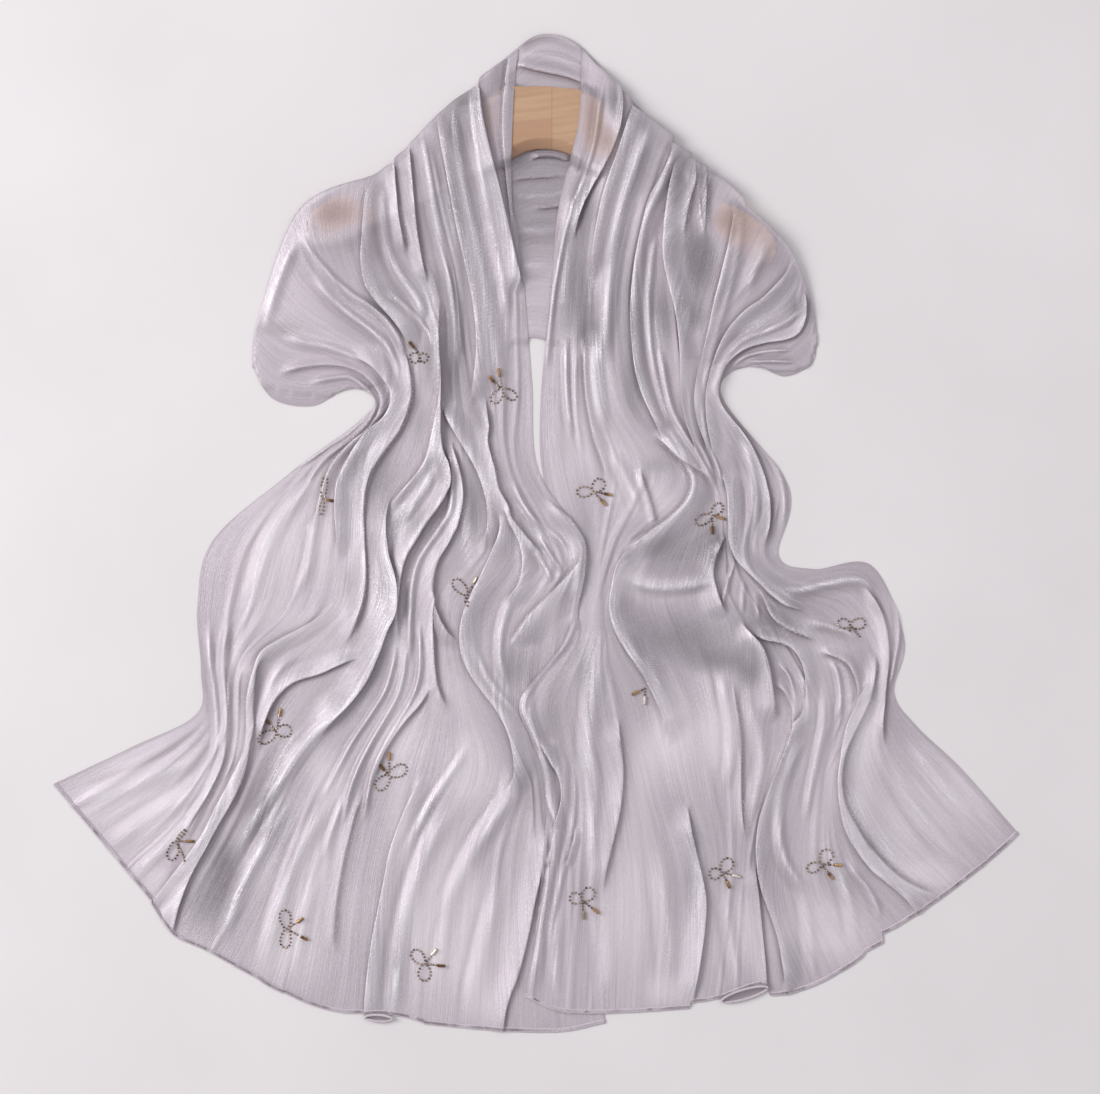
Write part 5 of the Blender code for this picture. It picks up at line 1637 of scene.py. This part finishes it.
def bowPlaces(bow):
    # where each stone and bugle of a bow lies
    knot = fromPhoto(bow["knot"])
    stones, tubes = [knot], []
    for tip, wide in bow["loops"]:
        reach = fromPhoto(tip) - knot
        aside = np.array([-reach[1], reach[0]]) / np.linalg.norm(reach)
        angles = np.linspace(0, 2 * math.pi, bowSizes["loopSteps"])
        swell = 0.5 * fromPixels(wide) * (np.sin(angles) * (1 - bowSizes["loopLean"] * np.cos(angles)))
        ring = knot + reach * (0.5 - 0.5 * np.cos(angles))[:, None] + aside * swell[:, None]
        run = runAlong(ring)
        count = int(run[-1] / bowSizes["pitch"])
        for place in np.linspace(0, run[-1], count + 1)[1:-1]:
            stones.append(np.array([np.interp(place, run, ring[:, k]) for k in range(2)]))
    for tip, kind in bow["tails"]:
        way = fromPhoto(tip) - knot
        tail = np.linalg.norm(way)
        way = way / tail
        if kind != "stones":
            tubes.append((knot + way * (tail - 0.5 * bowSizes["bugleLength"]), way, kind))
            tail = tail - bowSizes["bugleLength"]
        for place in np.arange(bowSizes["tailFirst"], tail - bowSizes["tailLast"], bowSizes["tailPitch"]):
            stones.append(knot + way * place)
    return stones, tubes


sheetTrees = [leftTree, rightTree, backTree]
stoneShape = shapeOf(modelStone())
bugleShape = shapeOf(modelBugle())
bowPieces = []
random = np.random.default_rng(3)
for bow in named(bowColumns, bows):
    stones, tubes = bowPlaces(bow)
    stonePlaces = []
    for x, y in stones:
        z, normal = topOf(sheetTrees, x, y)
        spin = Matrix.Rotation(random.uniform(0, 6.28), 4, "Z")
        place = normal.to_track_quat("Z", "Y").to_matrix().to_4x4() @ spin
        place.translation = Vector((x, y, z)) + normal * bowSizes["stone"] * bowSizes["stoneSeat"]
        stonePlaces.append(place)
    bowPieces.append(joinedCopies(bow["name"], stoneShape, stonePlaces, smokedStone))
    tubePlaces = {"gold": [], "silver": []}
    for (x, y), way, kind in tubes:
        z, normal = topOf(sheetTrees, x, y)
        run = Vector((*way, 0.0))
        run = (run - normal * run.dot(normal)).normalized()
        place = Matrix((normal.cross(run), normal, run)).transposed().to_4x4()
        place.translation = Vector((x, y, z)) + normal * bowSizes["bugleRadius"] * bowSizes["bugleSeat"]
        tubePlaces[kind].append(place)
    for kind, found in tubePlaces.items():
        if found:
            tubeName = bow["name"] + kind.capitalize()
            bowPieces.append(joinedCopies(tubeName, bugleShape, found, bugleMaterials[kind]))
print("bows sewn on")

woodHanger = {
    "centre": (0.0101, 0.373), "turn": -0.0436, "level": 0.00285, "thickness": 0.0120,
    "chamfer": 0.0082, "slope": 1.05, "bevel": 0.0010, "smooth": 28, "stations": 61,
}
# how far out from the middle on either side, then where the upper and lower edges lie, millimetres
hangerSections = (
    ("joint", 0, 20, -34), ("arch", 16, 19, -36), ("throat", 31, 18, -44), ("root", 47, 10, -53),
    ("slopeA", 69, -5, -65), ("slopeB", 95, -24, -80), ("slopeC", 121, -45, -96), ("slopeD", 148, -70, -110),
    ("shoulder", 174, -81, -124), ("cap", 190, -90, -130), ("tip", 201, -99, -127), ("end", 206, -109, -119),
)


def modelHanger():
    # the bar's section, its lower front edge cut back, drawn out from one tip to the other
    right = np.array([row[1:] for row in hangerSections], float) * mm
    left = right[:0:-1] * (-1, 1, 1)
    table = np.concatenate([left, right])
    shape = along(table, evenPlaces(table, woodHanger["stations"]))
    cosine, sine = math.cos(woodHanger["turn"]), math.sin(woodHanger["turn"])
    centreX, centreY = woodHanger["centre"]
    middles = [
        (centreX + x * cosine - 0.5 * (up + down) * sine, centreY + x * sine + 0.5 * (up + down) * cosine)
        for x, up, down in shape
    ]
    tall = [up - down for _, up, down in shape]
    level = woodHanger["level"] + 0.5 * woodHanger["thickness"]
    joint = int(np.argmin(np.abs(shape[:, 0])))

    def resizeAt(middle, y, z=1):
        bpy.ops.transform.resize(value=(1, y, z), center_override=(*middle, level))

    bpy.ops.mesh.primitive_plane_add(size=1.0, rotation=(0, math.pi / 2, 0), location=(*middles[0], level))
    made = bpy.context.object
    made.name = "hangerWood"
    bpy.ops.object.transform_apply(location=True, rotation=True, scale=True)
    bpy.ops.object.mode_set(mode="EDIT")
    resizeAt(middles[0], tall[joint], woodHanger["thickness"])
    low = middles[0][1] - 0.5 * tall[joint]
    bpy.ops.mesh.bisect(
        plane_co=(middles[0][0], low + woodHanger["chamfer"], level + 0.5 * woodHanger["thickness"]),
        plane_no=(0, -1.0, woodHanger["slope"]), clear_outer=True, use_fill=False,
    )
    bpy.ops.mesh.select_all(action="SELECT")
    bpy.ops.mesh.bevel(offset=woodHanger["bevel"], segments=2, affect="VERTICES")
    bpy.ops.mesh.select_all(action="SELECT")
    resizeAt(middles[0], tall[0] / tall[joint])
    for i in range(1, len(middles)):
        step = (middles[i][0] - middles[i - 1][0], middles[i][1] - middles[i - 1][1], 0)
        bpy.ops.mesh.extrude_region_move(TRANSFORM_OT_translate={"value": step})
        resizeAt(middles[i], tall[i] / tall[i - 1])
    bpy.ops.mesh.select_all(action="SELECT")
    bpy.ops.mesh.normals_make_consistent(inside=False)
    bpy.ops.object.mode_set(mode="OBJECT")
    bpy.ops.object.shade_smooth_by_angle(angle=math.radians(woodHanger["smooth"]))
    made.data.materials.append(beechWood)
    return made


bpy.ops.object.select_all(action="DESELECT")
hangerWood = modelHanger()
print("hanger modelled", [round(v * 1000, 1) for v in hangerWood.dimensions])

# what stands for what
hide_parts("left_front")
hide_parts("right_front")
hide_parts("back_stretch")
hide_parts("left_hem")
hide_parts("right_hem")
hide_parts("hanger_left", "hanger_right")
for piece in (
    leftSheet, rightSheet, backSheet, leftHem, rightHem, leftStitches, rightStitches, hangerWood,
    *leftTurned, *rightTurned, *bowPieces,
):
    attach(piece, "root")

bpy.ops.object.select_all(action="DESELECT")
bpy.ops.mesh.primitive_plane_add(size=8.0, location=(0, 0, 0))
floor = bpy.context.object
floor.name = "floor"
floor.data.materials.append(speckledMaterial("paleTable"))

lights = {
    "key": {"place": (-3.1, 0.75, 2.65), "size": 2.6, "power": 125.0, "colour": (1.0, 0.985, 0.985)},
    "fill": {"place": (1.2, 1.2, 2.9), "size": 2.8, "power": 18.0, "colour": (0.98, 0.98, 1.0)},
}
for name, light in lights.items():
    bpy.ops.object.light_add(type="AREA", location=light["place"])
    lamp = bpy.context.object
    lamp.name = name + "Light"
    lamp.data.shape = "DISK"
    lamp.data.size = light["size"]
    lamp.data.energy = light["power"]
    lamp.data.color = light["colour"]
    aim = Vector((0, 0, 0)) - lamp.location
    lamp.rotation_euler = aim.to_track_quat("-Z", "Y").to_euler()

studio = {"colour": (0.93, 0.92, 0.95, 1.0), "strength": 0.52, "throughLayers": 24}
world = bpy.data.worlds.new("studio")
world.use_nodes = True
world.node_tree.nodes["Background"].inputs["Color"].default_value = studio["colour"]
world.node_tree.nodes["Background"].inputs["Strength"].default_value = studio["strength"]
bpy.context.scene.world = world
bpy.context.scene.view_settings.view_transform = "Standard"
bpy.context.scene.cycles.transparent_max_bounces = studio["throughLayers"]

cameraSetup = {"place": (0.0127, -0.01156), "distance": 2.3, "view": 0.968, "sensor": 36.0, "level": 0.008}
bpy.ops.object.camera_add(location=(*cameraSetup["place"], cameraSetup["distance"]), rotation=(0, 0, 0))
camera = bpy.context.object
camera.name = "camera"
camera.data.sensor_width = cameraSetup["sensor"]
away = cameraSetup["distance"] - cameraSetup["level"]
camera.data.lens = cameraSetup["sensor"] * away / cameraSetup["view"]
bpy.context.scene.camera = camera
print("floor, lights and camera set")
